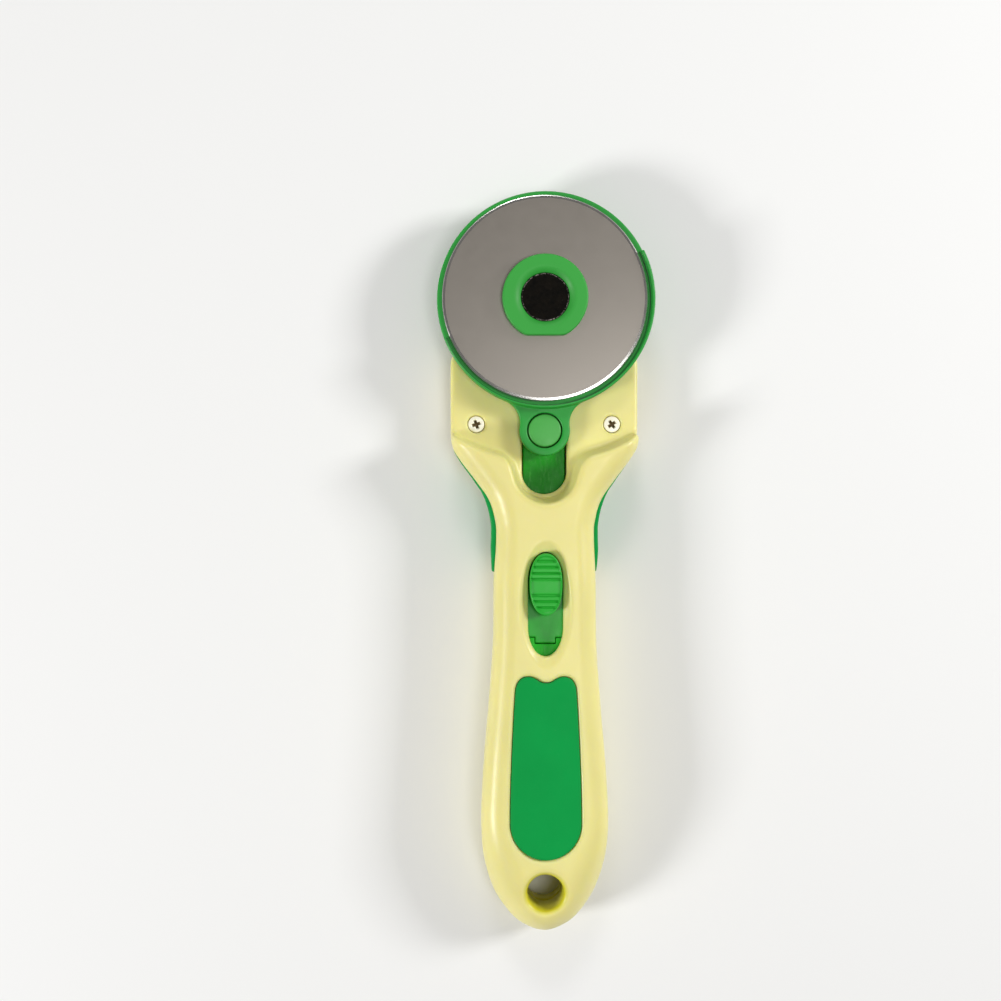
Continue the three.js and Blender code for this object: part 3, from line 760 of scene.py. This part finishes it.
def front_shell():
    grid = Grid(
        lines((-29, 29, 0.45)),
        lines((-187.5, -165, 0.5), (-165, -107, 0.6), (-107, -70, 0.42), (-70, -60, 0.5),
              (-60, -31, 0.42), (-31, -11.5, 0.6)),
        lines((7.2, 22.5, 0.45)),
    )
    plan = plan_distance(handle_outline(), grid)
    body = handle_body(grid, plan)
    step_wall = plan_distance(floor_outline(), grid) - STEP_SLOPE * (grid.z - HEAD_FLOOR_Z)
    body = cut(body, smax(step_wall, HEAD_FLOOR_Z - grid.z, 1.6), 1.5)
    body = cut(body, plan_distance(slot_outline(SLOT_HALF, SLOT_TOP_Y, SLOT_END_Y), grid), 0.5)
    body = cut(body, ellipsoid(grid, DISH_CENTRE, DISH_RADII), 0.3)
    body = cut(body, np.maximum(plan_distance(thumb_outline(), grid), THUMB_FLOOR_Z - grid.z), 0.7)
    pocket_z = HANDLE_TOP_Z - FRONT_POCKET_DEPTH
    body = cut(body, np.maximum(plan_distance(pad_outline(), grid) - PAD_GAP, pocket_z - grid.z), 0.5)
    body = cut(body, disc(grid, HOLE_R, 0, HOLE_Y), 2.8)
    for sign in (-1, 1):
        body = cut(body, finger_rest(grid, plan, sign, REST_GAP), 0.35)
        seat = disc(grid, SCREW_SEAT_R, sign * SCREW_X, SCREW_Y)
        body = cut(body, np.maximum(seat, SCREW_SEAT_Z - grid.z), 0.4)
        body = cut(body, disc(grid, SCREW_HOLE_R, sign * SCREW_X, SCREW_Y), 0.2)
    body = np.maximum(body, -bar_run(grid))
    body = smax(body, PARTING_Z + PARTING_GAP - grid.z, 0.45)
    return net("front_shell", grid, body, yellow_plastic, "handle")


ARM_LOW_Z, ARM_TOP_Z = 3.2, 11.4
BOSS_R, BOSS_TOP_Z = 5.5, BLADE_LOW[2] - 0.3
COLLAR_R, COLLAR_Z = 8.2, (3.0, 8.0)
BOLT_HOLE_R, BOLT_SEAT_R, BOLT_SEAT_Z = 2.75, 4.15, 13.3


def arm_outline():
    side = smooth_path([(11, 0), (11.3, -6), (13.5, -11.5), (19.5, -15.5), (21, -20)], 6)
    return mirrored(arc(0, 0, 11, 90, 4, 14) + side)


def back_shell():
    grid = Grid(
        lines((-29, 29, 0.55)),
        lines((-187.5, -80, 0.65), (-80, -30, 0.55), (-30, 12, 0.5)),
        lines((-1.2, 16.2, 0.45)),
    )
    plan = plan_distance(handle_outline(), grid)
    body = handle_body(grid, plan)
    rise = np.clip((grid.y + 47) / 7, 0, 1)
    body = smax(body, 2.0 * rise * rise * (3 - 2 * rise) - grid.z, 1.5)
    body = np.maximum(body, -bar_run(grid))
    for sign in (-1, 1):
        body = cut(body, finger_rest(grid, plan, sign, REST_GAP), 0.35)
        screw_hole = disc(grid, SCREW_HOLE_R, sign * SCREW_X, SCREW_Y)
        body = cut(body, np.maximum(screw_hole, 2.9 - grid.z), 0.2)
    body = smax(body, grid.z - (PARTING_Z - PARTING_GAP), 0.45)
    arm = slab(plan_distance(arm_outline(), grid), grid.z, ARM_LOW_Z, ARM_TOP_Z, 1.2, 0.5)
    arm = np.maximum(arm, np.minimum(SHOULDER_Y + 0.3 - grid.y, grid.z - (PARTING_Z - 0.1)))
    body = smin(body, arm, 0.9)
    body = smin(body, slab(disc(grid, COLLAR_R), grid.z, *COLLAR_Z, 0.5, 0.5), 0.6)
    body = smin(body, slab(disc(grid, BOSS_R), grid.z, 9.0, BOSS_TOP_Z, 0.2, 0.35), 0.6)
    body = cut(body, disc(grid, BOLT_HOLE_R), 0.3)
    body = cut(body, np.maximum(disc(grid, BOLT_SEAT_R), BOLT_SEAT_Z - grid.z), 0.3)
    pocket = np.maximum(plan_distance(pad_outline(), grid) - PAD_GAP, grid.z - BACK_POCKET_DEPTH)
    body = cut(body, pocket, 0.45)
    body = cut(body, disc(grid, HOLE_R, 0, HOLE_Y), 2.4)
    return net("back_shell", grid, body, yellow_plastic, "handle")


PAD_CROWN = 0.75


def grip_pads():
    """The soft pads let into the front and the back, the front one domed from side to side."""
    low, high = PAD_LOW - 0.2, PAD_HIGH + 0.2
    grid = even_grid(low, high, 0.38)
    plan = plan_distance(pad_outline(), grid)
    crown = -PAD_CROWN * np.clip(np.abs(grid.x) / PAD_HIGH[0], 0, 1) ** 2
    front = slab(plan + 0.02, grid.z - crown, PAD_LOW[2], PAD_HIGH[2], 0.2, 0.6)
    net("front_grip_pad", grid, front, rubber, "handle")
    back_low, back_high = span("back_grip_pad")
    grid = even_grid(back_low, back_high, 0.4)
    plan = plan_distance(pad_outline(), grid)
    back = slab(plan + 0.02, grid.z, back_low[2], back_high[2], 0.35, 0.2)
    net("back_grip_pad", grid, back, rubber, "handle")


def finger_rests():
    for sign, node in ((-1, "left_finger_rest"), (1, "right_finger_rest")):
        low, high = span(node)
        grid = even_grid(low - [0.3, 0.5, 0.3], high + [0.3, 0.5, 0.3], 0.36)
        body = finger_rest(grid, plan_distance(handle_outline(), grid), sign)
        net(node, grid, body, rubber, "handle")


def head_screws():
    """Cross-recess screws with low domed heads."""
    head_r, top_z, under_z = 2.42, SCREW_HIGH[2] - 0.08, 10.1
    core_r, thread_depth, pitch = 1.2, 0.12, 1.0
    for sign, node, degrees in ((-1, "head_screw_left", 18), (1, "head_screw_right", 35)):
        x0 = sign * SCREW_X
        grid = Grid(
            lines((x0 - 2.8, x0 + 2.8, 0.1)),
            lines((SCREW_Y - 2.8, SCREW_Y + 2.8, 0.1)),
            lines((SCREW_LOW[2] - 0.5, 9.4, 0.3), (9.4, 11.8, 0.1)),
        )
        radius = np.hypot(grid.x - x0, grid.y - SCREW_Y)
        dome = top_z - 0.03 * radius**2
        head = smax(smax(radius - head_r, grid.z - dome, 0.35), under_z - grid.z, 0.1)
        turn = np.arctan2(grid.y - SCREW_Y, grid.x - x0)
        thread = thread_depth * np.sin(2 * np.pi * grid.z / pitch + turn)
        shank = np.maximum(radius - core_r - thread, between(grid, SCREW_LOW[2], SCREW_SEAT_Z))
        own = Turned(grid, x0, SCREW_Y, degrees)
        across, along = np.abs(own.x - x0), np.abs(own.y - SCREW_Y)
        deep = top_z - grid.z
        flare = 0.5 - 0.16 * deep
        reach = 1.55 - 0.7 * deep
        cross = np.minimum(
            np.maximum(across - reach, along - flare),
            np.maximum(along - reach, across - flare),
        )
        cross = np.maximum(cross, deep - 1.3)
        body = cut(np.minimum(head, shank), cross, 0.12)
        net(node, grid, body, screw_nickel, "handle")


# ---- slider ----------------------------------------------------------------------------------

BAR_HALF = 6.2
BAR_STRIP = (BAR_LOW[2], BAR_LOW[2] + 2.0)
PLATE_Z, PLATE_TOP_Z, PLATE_END_Y = 15.6, BAR_HIGH[2], -68.6
BED_Z = 16.0
PIVOT_HOLE_R = 1.9
JOINT_Y, TONGUE_Y, TONGUE_HALF = -98.75, -100.4, 2.95


def slide_bar():
    grid = Grid(
        lines((-7, 7, 0.3)),
        lines((BAR_LOW[1] - 1, -106, 0.6), (-106, -96, 0.22), (-96, -62, 0.5), (-62, -31.2, 0.32)),
        lines((BAR_LOW[2] - 0.8, 10, 0.3), (10, 15, 0.5), (15, PLATE_TOP_Z + 0.9, 0.22)),
    )
    eye = np.minimum(oblong(grid, BAR_HALF, -67, PIVOT_Y), disc(grid, BAR_HALF, 0, PIVOT_Y))
    strip = slab(eye, grid.z, *BAR_STRIP, 0.2, 0.3)
    rib = oblong(grid, 0.22, -68, -36)
    strip = np.minimum(strip, slab(rib, grid.z, BAR_STRIP[0] + 1, BAR_STRIP[1] + 0.06, 0.05, 0.05))
    plate = oblong(grid, BAR_HALF, BAR_LOW[1], PLATE_END_Y)
    plate = slab(plate, grid.z, PLATE_Z, PLATE_TOP_Z, 0.2, 0.3)
    ramp_y, ramp_z, half_thick = -67.9, 13.3, 1.25
    run, climb = -4.0, PLATE_TOP_Z - BAR_STRIP[1]
    across = ((grid.y - ramp_y) * climb - (grid.z - ramp_z) * run) / math.hypot(run, climb)
    ramp = np.maximum(np.abs(across) - half_thick, np.abs(grid.x) - BAR_HALF)
    ramp = np.maximum(ramp, np.maximum(BAR_STRIP[0] + 0.1 - grid.z, grid.z - PLATE_TOP_Z + 0.05))
    body = smin(smin(strip, ramp, 0.4), plate, 0.4)
    bed = np.minimum(
        oblong(grid, 9, JOINT_Y - 0.14, -60),
        oblong(grid, TONGUE_HALF + 0.16, TONGUE_Y - 0.3, -60),
    )
    body = cut(body, np.maximum(bed, BED_Z - grid.z), 0.12)
    body = cut(body, disc(grid, PIVOT_HOLE_R, 0, PIVOT_Y), 0.2)
    net("slide_bar", grid, body, bar_plastic, "slider")


KNOB_HALF = (KNOB_HIGH[0], (KNOB_HIGH[1] - KNOB_LOW[1]) / 2)
GROOVE_DEPTH = 0.62
GROOVE_FLANKS = (0.34, 0.52)
GROOVES = [1.4 + 1.75 * n for n in range(4)] + [-3.2 - 1.72 * n for n in range(4)]


def slide_knob():
    """The thumb knob: an oval pad, hollow in the middle, with a raised rim and grooves across it."""
    grid = Grid(
        lines((-6.4, 6.4, 0.17)),
        lines((-101.5, -93, 0.25), (-93, -73, 0.17), (-73, -68, 0.4)),
        lines((14.0, 19.4, 0.35), (19.4, 23.6, 0.13)),
    )
    x, y = grid.x, grid.y - KNOB_Y
    oval = 2.25
    rho = (np.abs(x / KNOB_HALF[0]) ** oval + np.abs(y / KNOB_HALF[1]) ** oval) ** (1 / oval)
    plan = (rho - 1) * KNOB_HALF[0] * (0.75 + 0.25 * np.abs(x / KNOB_HALF[0]))
    top = KNOB_HIGH[2] - 0.06
    bowl_depth, bowl_rise, rim_height, rib_height = 1.25, 0.55, 0.62, 0.3
    bowl = top - bowl_depth + bowl_rise * (y / KNOB_HALF[1]) ** 2
    fall = 0 * y
    for middle in GROOVES:
        away = y - middle
        flank = np.where(away > 0, away / GROOVE_FLANKS[0], -away / GROOVE_FLANKS[1])
        fall = np.maximum(fall, np.clip(1 - flank, 0, 1))
    ribs = rib_height * np.clip((np.abs(y + 1) - 1.6) / 1.2, 0, 1) - GROOVE_DEPTH * fall
    edge = np.clip((plan + 0.42) / 0.2, 0, 1)
    rim = bowl + rim_height
    height = (bowl + ribs) * (1 - edge) + rim * edge
    knob = smax(plan, (grid.z - height) * 0.8, 0.3)
    knob = np.maximum(knob, 16.6 - grid.z)
    tail = oblong(grid, 5.9, JOINT_Y, -70.5)
    tongue = oblong(grid, TONGUE_HALF, TONGUE_Y, -90)
    tail = slab(smin(tail, tongue, 0.15), grid.z, 16.12, PLATE_TOP_Z - 0.02, 0.05, 0.14)
    stem = np.maximum(oblong(grid, 3.5, KNOB_Y - 5.9, KNOB_Y + 5.9), between(grid, 14.8, 18.2))
    body = np.minimum(smin(knob, tail, 0.3), stem)
    net("slide_knob", grid, body, knob_plastic, "slider")


def coil(name, radius, wire_r, z0, z1, turns, body):
    """A coil spring whose end turns lie flat."""
    steps, sides = int(turns * 40), 10
    t = np.linspace(0, 1, steps + 1)
    flat = 0.75 / turns
    rise = np.clip((t - flat) / (1 - 2 * flat), 0, 1)
    z = z0 + (z1 - z0) * (0.86 * rise + 0.07 * t / 0.5)
    z = z0 + (z - z[0]) * (z1 - z0) / (z[-1] - z[0])
    turn = 2 * np.pi * turns * t
    points = []
    for i in range(steps + 1):
        out = np.array([math.cos(turn[i]), math.sin(turn[i]), 0])
        middle = radius * out + [0, PIVOT_Y, z[i]]
        for s in range(sides):
            a = 2 * np.pi * s / sides
            points.append(middle + wire_r * (math.cos(a) * out + math.sin(a) * np.array([0, 0, 1])))
    faces = []
    for i in range(steps):
        for s in range(sides):
            a, b = i * sides + s, i * sides + (s + 1) % sides
            faces.append((b, a, a + sides, b + sides))
    for end in (0, steps):
        points.append(np.mean(points[end * sides : (end + 1) * sides], axis=0))
        hub = len(points) - 1
        for s in range(sides):
            a, b = end * sides + s, end * sides + (s + 1) % sides
            faces.append((hub, a, b) if end == 0 else (hub, b, a))
    return put(name, points, faces, spring_steel, body)


def button_spring():
    """The coil under the button, which shortens as the button goes down."""
    low, high = span("button_spring")
    wire_r = 0.3
    spring = coil("button_spring", 2.6, wire_r, low[2] + wire_r, high[2] - wire_r, 4, "slider")
    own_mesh(spring)


def turned(name, profile, material, body, steps=96, crease=35):
    points, faces = lathe(profile, steps)
    return put(name, points, faces, material, body, crease)


def release_button():
    grid = Grid(
        lines((-6.5, 6.5, 0.16)),
        lines((PIVOT_Y - 6.5, PIVOT_Y + 6.5, 0.16)),
        lines((BUTTON_LOW[2] - 0.6, 14, 0.3), (14, BUTTON_HIGH[2] + 0.5, 0.11)),
    )
    head_r, flange_r, hollow_r, stem_r = 4.75, 5.95, 3.5, 1.6
    foot_z, flange_z, hollow_z, stem_z = 10.8, 11.6, 13.8, 14.2
    radius = np.hypot(grid.x, grid.y - PIVOT_Y)
    top = BUTTON_HIGH[2] - 0.012 * radius**2
    body = smax(radius - head_r, grid.z - top, 0.5)
    body = smax(body, foot_z - grid.z, 0.1)
    body = np.minimum(body, np.maximum(radius - flange_r, between(grid, foot_z, flange_z)))
    body = cut(body, np.maximum(radius - hollow_r, grid.z - hollow_z), 0.1)
    body = np.minimum(body, np.maximum(radius - stem_r, between(grid, BUTTON_LOW[2], stem_z)))
    net("release_button", grid, body, button_plastic, "button")


# ---- blade cover -----------------------------------------------------------------------------


GUARD_FLOOR_Z, WALL_FOOT_Z = 13.3, 14.5
BUTTON_HOLE_R = 5.15


def blade_guard():
    """The green tray under the blade: its rim, the high wall round its lower side and the pivot lug."""
    grid = Grid(
        lines((-33, 33, 0.36)),
        lines((-47, -30, 0.32), (-30, 33, 0.36)),
        lines((GUARD_LOW[2] - 0.5, 14.4, 0.35), (14.4, GUARD_HIGH[2] + 0.5, 0.24)),
    )
    z = grid.z
    lean = -math.degrees(math.asin(GUARD_LEAN / (GUARD_CENTRE_Y - PIVOT_Y)))
    own = Turned(grid, 0, PIVOT_Y, lean)
    rim_r = GUARD_R - GUARD_LEAN
    radius = np.hypot(own.x, own.y - GUARD_CENTRE_Y)
    plan = plan_distance(guard_outline(rim_r), own)
    body = slab(plan, z, GUARD_LOW[2], LUG_TOP_Z, 0.5, 0.45)
    low_rim = slab(radius - rim_r, z, GUARD_LOW[2], LOW_RIM_TOP_Z, 0.5, 0.35)
    body = np.minimum(body, low_rim)
    middle = math.radians((WALL_FROM + WALL_TO) / 2)
    half = math.radians((WALL_TO - WALL_FROM) / 2)
    turn = np.arctan2(own.y - GUARD_CENTRE_Y, own.x) - middle
    turn = np.abs((turn + np.pi) % (2 * np.pi) - np.pi)
    past_end = (turn - half) * rim_r
    wall = np.maximum(radius - rim_r, GUARD_WALL_R - radius)
    wall = smax(smax(smax(past_end, z - GUARD_HIGH[2], 0.6), wall, 0.22), WALL_FOOT_Z - z, 0.1)
    body = smin(body, wall, 0.25)
    body = np.maximum(body, plan)
    body = cut(body, np.maximum(radius - GUARD_LEDGE_R, GUARD_FLOOR_Z - z), 0.4)
    body = cut(body, boss_slot(grid), 0.3)
    body = cut(body, disc(grid, BUTTON_HOLE_R, 0, PIVOT_Y), 0.35)
    net("blade_guard", grid, body, guard_plastic, "cover")


def boss_slot(grid):
    """Where the fixed axle boss passes through the cover as it slides back and swings."""
    slide = travel("cover_slide")
    swing = math.radians(9)
    nearest = None
    for t in np.linspace(0, 1, 13):
        length = slide * t - PIVOT_Y
        x, y = -length * math.sin(swing * t), PIVOT_Y + length * math.cos(swing * t)
        here = disc(grid, BOSS_R + 0.35, x, y)
        nearest = here if nearest is None else np.minimum(nearest, here)
    return nearest


# ---- blade and axle --------------------------------------------------------------------------


def blade():
    """The blade: satin faces, a hole in the middle, and a bright ground bevel on each face."""
    z0, z1 = BLADE_LOW[2], BLADE_HIGH[2]
    mid = (z0 + z1) / 2
    bevel_r, honed_r = BLADE_R - 0.85, BLADE_R - 0.22
    half = (z1 - z0) / 2
    low = [(r, -half) for r in (4, 12, 20, bevel_r)] + [(honed_r, -0.083), (BLADE_R - 0.02, -0.008)]
    profile = [(r, mid + z) for r, z in low] + [(r, mid - z) for r, z in reversed(low)]
    piece = turned("blade", profile, blade_face, "cutter_blade", 288, crease=1.5)
    piece.data.materials.append(blade_bevel)
    piece.data.materials.append(blade_edge)
    for face in piece.data.polygons:
        reach = 1000 * math.hypot(face.center.x, face.center.y - AXIS_Y / 1000)
        face.material_index = int(reach > bevel_r + 0.1) + int(reach > honed_r + 0.02)


def hub_cap():
    flat = -CAP_LOW[1]
    radius_out = CAP_HIGH[0]
    grid = Grid(
        lines((-13.2, 13.2, 0.2)),
        lines((-12.2, 13.2, 0.2)),
        lines((CAP_LOW[2] - 0.5, CAP_HIGH[2] + 0.5, 0.16)),
    )
    radius = np.hypot(grid.x, grid.y)
    plan = smax(radius - radius_out, -flat - grid.y, 0.5)
    body = slab(plan, grid.z, CAP_LOW[2], CAP_HIGH[2], 0.25, 0.5)
    rise = np.clip((grid.z - MAGNET_HIGH[2]) / (CAP_HIGH[2] - MAGNET_HIGH[2]), 0, 1.3)
    well_r, flare, hole_r = 7.12, 1.45, 4.2
    well = radius - well_r - flare * rise**1.3
    body = cut(body, np.maximum(well, MAGNET_LOW[2] - 0.12 - grid.z), 0.7)
    body = cut(body, radius - hole_r, 0.15)
    net("hub_cap", grid, body, cap_plastic, "cap")


def magnet():
    """The ferrite disc, its edge chipped."""
    low, high = MAGNET_LOW - 0.2, MAGNET_HIGH + 0.2
    grid = Grid(
        lines((low[0], high[0], 0.14)),
        lines((low[1], high[1], 0.14)),
        lines((low[2] - 0.1, high[2] + 0.1, 0.1)),
    )
    turn = np.arctan2(grid.y, grid.x)
    chips = sum(
        size * np.clip(np.sin(count * turn + phase), 0.55, 1)
        for size, count, phase in ((0.16, 7, 0.4), (0.12, 13, 2.1), (0.1, 23, 4.0), (0.08, 37, 1.3))
    )
    radius = np.hypot(grid.x, grid.y)
    rough = 0.02 * np.sin(3.1 * grid.x + 2 * np.sin(1.7 * grid.y)) * np.sin(2.7 * grid.y)
    body = smax(radius - MAGNET_HIGH[0] + 0.03, grid.z - MAGNET_HIGH[2] + 0.03 + rough, 0.12)
    body = smax(body, MAGNET_LOW[2] - grid.z, 0.1)
    chipped = radius + (grid.z - MAGNET_HIGH[2]) - MAGNET_HIGH[0] + chips - 0.08
    body = np.maximum(body, chipped * 0.7)
    net("magnet", grid, body, magnet_black, "cap")


def axle():
    """The bolt through the arm, and at its back a washer, a spring washer and a nut."""
    shaft, head = 2.5, 3.9
    thread = [(shaft - (0.0 if i % 2 else 0.22), BOLT_LOW[2] + 0.3 + 0.25 * i) for i in range(12)]
    turned(
        "axle_bolt",
        [(0, BOLT_LOW[2]), (shaft - 0.35, BOLT_LOW[2])] + thread
        + [(shaft, 3.6), (shaft, 13.6), (head, 13.6), (head, BOLT_HIGH[2] - 0.3),
           (head - 0.3, BOLT_HIGH[2]), (0, BOLT_HIGH[2])],
        nickel, "handle", 64,
    )
    low, high = span("flat_washer")
    turned(
        "flat_washer",
        [(2.8, low[2]), (5.85, low[2]), (6, low[2] + 0.1),
         (6, high[2] - 0.1), (5.85, high[2]), (2.8, high[2])],
        nickel, "handle", 96,
    )
    spring_washer()
    axle_nut()


def spring_washer():
    """A split ring with a square section."""
    low, high = span("spring_washer")
    grid = Grid(lines((-6, 6, 0.14)), lines((-6, 6, 0.14)), lines((low[2] - 0.3, high[2] + 0.3, 0.1)))
    radius = np.hypot(grid.x, grid.y)
    outer, inner = 5.4, 2.85
    ring = np.maximum(np.maximum(radius - outer, inner - radius), between(grid, low[2], high[2]))
    split = np.maximum(np.abs(grid.x + 0.5 * (grid.y - 4)) - 0.3, -grid.y)
    ring = cut(ring, split, 0.1)
    net("spring_washer", grid, ring, spring_steel, "handle")


def axle_nut():
    flat = NUT_HIGH[1]
    heights = lines((NUT_LOW[2] - 0.3, NUT_HIGH[2] + 0.3, 0.11))
    grid = Grid(lines((-6, 6, 0.13)), lines((-6, 6, 0.13)), heights)
    sides = [np.abs(grid.x * math.cos(a) + grid.y * math.sin(a)) - flat for a in np.radians([30, 90, 150])]
    plan = np.maximum(np.maximum(sides[0], sides[1]), sides[2])
    radius = np.hypot(grid.x, grid.y)
    body = slab(plan, grid.z, NUT_LOW[2], NUT_HIGH[2], 0.05, 0.05)
    body = smax(body, 0.8 * (radius - flat - 0.15 - (grid.z - NUT_LOW[2]) * 1.7), 0.15)
    hole_r = 2.78
    body = cut(body, radius - hole_r, 0.3)
    net("axle_nut", grid, body, nickel, "handle")


def detent_leaf():
    """The arched leaf in the channel under the bar."""
    low, high = span("detent_spring")
    count = 60
    t = np.linspace(0, 1, count + 1)
    y = low[1] + (high[1] - low[1]) * t
    thick = 0.3
    rise = (high[2] - low[2] - thick) * (0.5 - 0.5 * np.cos(2 * np.pi * t))
    points, faces = [], []
    for i in range(count + 1):
        z = low[2] + rise[i]
        points += [(low[0], y[i], z), (high[0], y[i], z)]
        points += [(high[0], y[i], z + thick), (low[0], y[i], z + thick)]
    for i in range(count):
        for s in range(4):
            a, b = 4 * i + s, 4 * i + (s + 1) % 4
            faces.append((a, b, b + 4, a + 4))
    faces += [(3, 2, 1, 0), tuple(4 * count + s for s in range(4))]
    put("detent_spring", points, faces, spring_steel, "handle", 35)


# ---- the whole -------------------------------------------------------------------------------

front_shell()
back_shell()
grip_pads()
finger_rests()
head_screws()
slide_bar()
slide_knob()
release_button()
button_spring()
blade_guard()
blade()
hub_cap()
magnet()
axle()
detent_leaf()


# ---- floor, light and camera -----------------------------------------------------------------


def floor():
    mesh = bpy.data.meshes.new("floor")
    half, z = 1.5, -0.0002
    corners = [(-half, -half, z), (half, -half, z), (half, half, z), (-half, half, z)]
    mesh.from_pydata(corners, [], [(0, 1, 2, 3)])
    plane = bpy.data.objects.new("floor", mesh)
    bpy.context.scene.collection.objects.link(plane)
    look = Look("floor", (0.86, 0.86, 0.85), 0.75)
    look.wire("Roughness", look.spread(look.noise(12, 4), 0.7, 0.82))
    mesh.materials.append(look.material)


def soft_light(name, place, size, power):
    """A square soft light at a place in metres, facing the cutter's middle."""
    data = bpy.data.lights.new(name, "AREA")
    data.shape = "RECTANGLE"
    data.size, data.size_y = size
    data.energy = power
    light = bpy.data.objects.new(name, data)
    light.location = place
    light.rotation_euler = (Vector((0, 0.02, 0.01)) - Vector(place)).to_track_quat("-Z", "Y").to_euler()
    bpy.context.scene.collection.objects.link(light)


def lights():
    soft_light("left_light", (-0.93, -0.33, 0.54), (0.24, 0.24), 7.4)
    soft_light("right_light", (0.9, 0.27, 0.54), (0.24, 0.24), 6.8)
    soft_light("top_light", (-0.1, 0.9, 0.7), (0.3, 0.2), 2.2)
    soft_light("near_light", (0.22, -0.12, 1.1), (0.3, 0.3), 2.15)
    world = bpy.data.worlds.new("studio")
    bpy.context.scene.world = world
    world.use_nodes = True
    world.node_tree.nodes["Background"].inputs["Color"].default_value = (1.0, 0.985, 0.97, 1)
    world.node_tree.nodes["Background"].inputs["Strength"].default_value = 0.22


CAMERA_PLACE = (-0.022, 0.0181, 0.42)


def camera():
    data = bpy.data.cameras.new("camera")
    data.sensor_width = 36
    data.lens = 49.88
    data.shift_x = 0.031
    data.clip_start = 0.01
    eye = bpy.data.objects.new("camera", data)
    eye.location = CAMERA_PLACE
    bpy.context.scene.collection.objects.link(eye)
    bpy.context.scene.camera = eye


floor()
lights()
camera()
bpy.context.scene.view_settings.view_transform = "Standard"
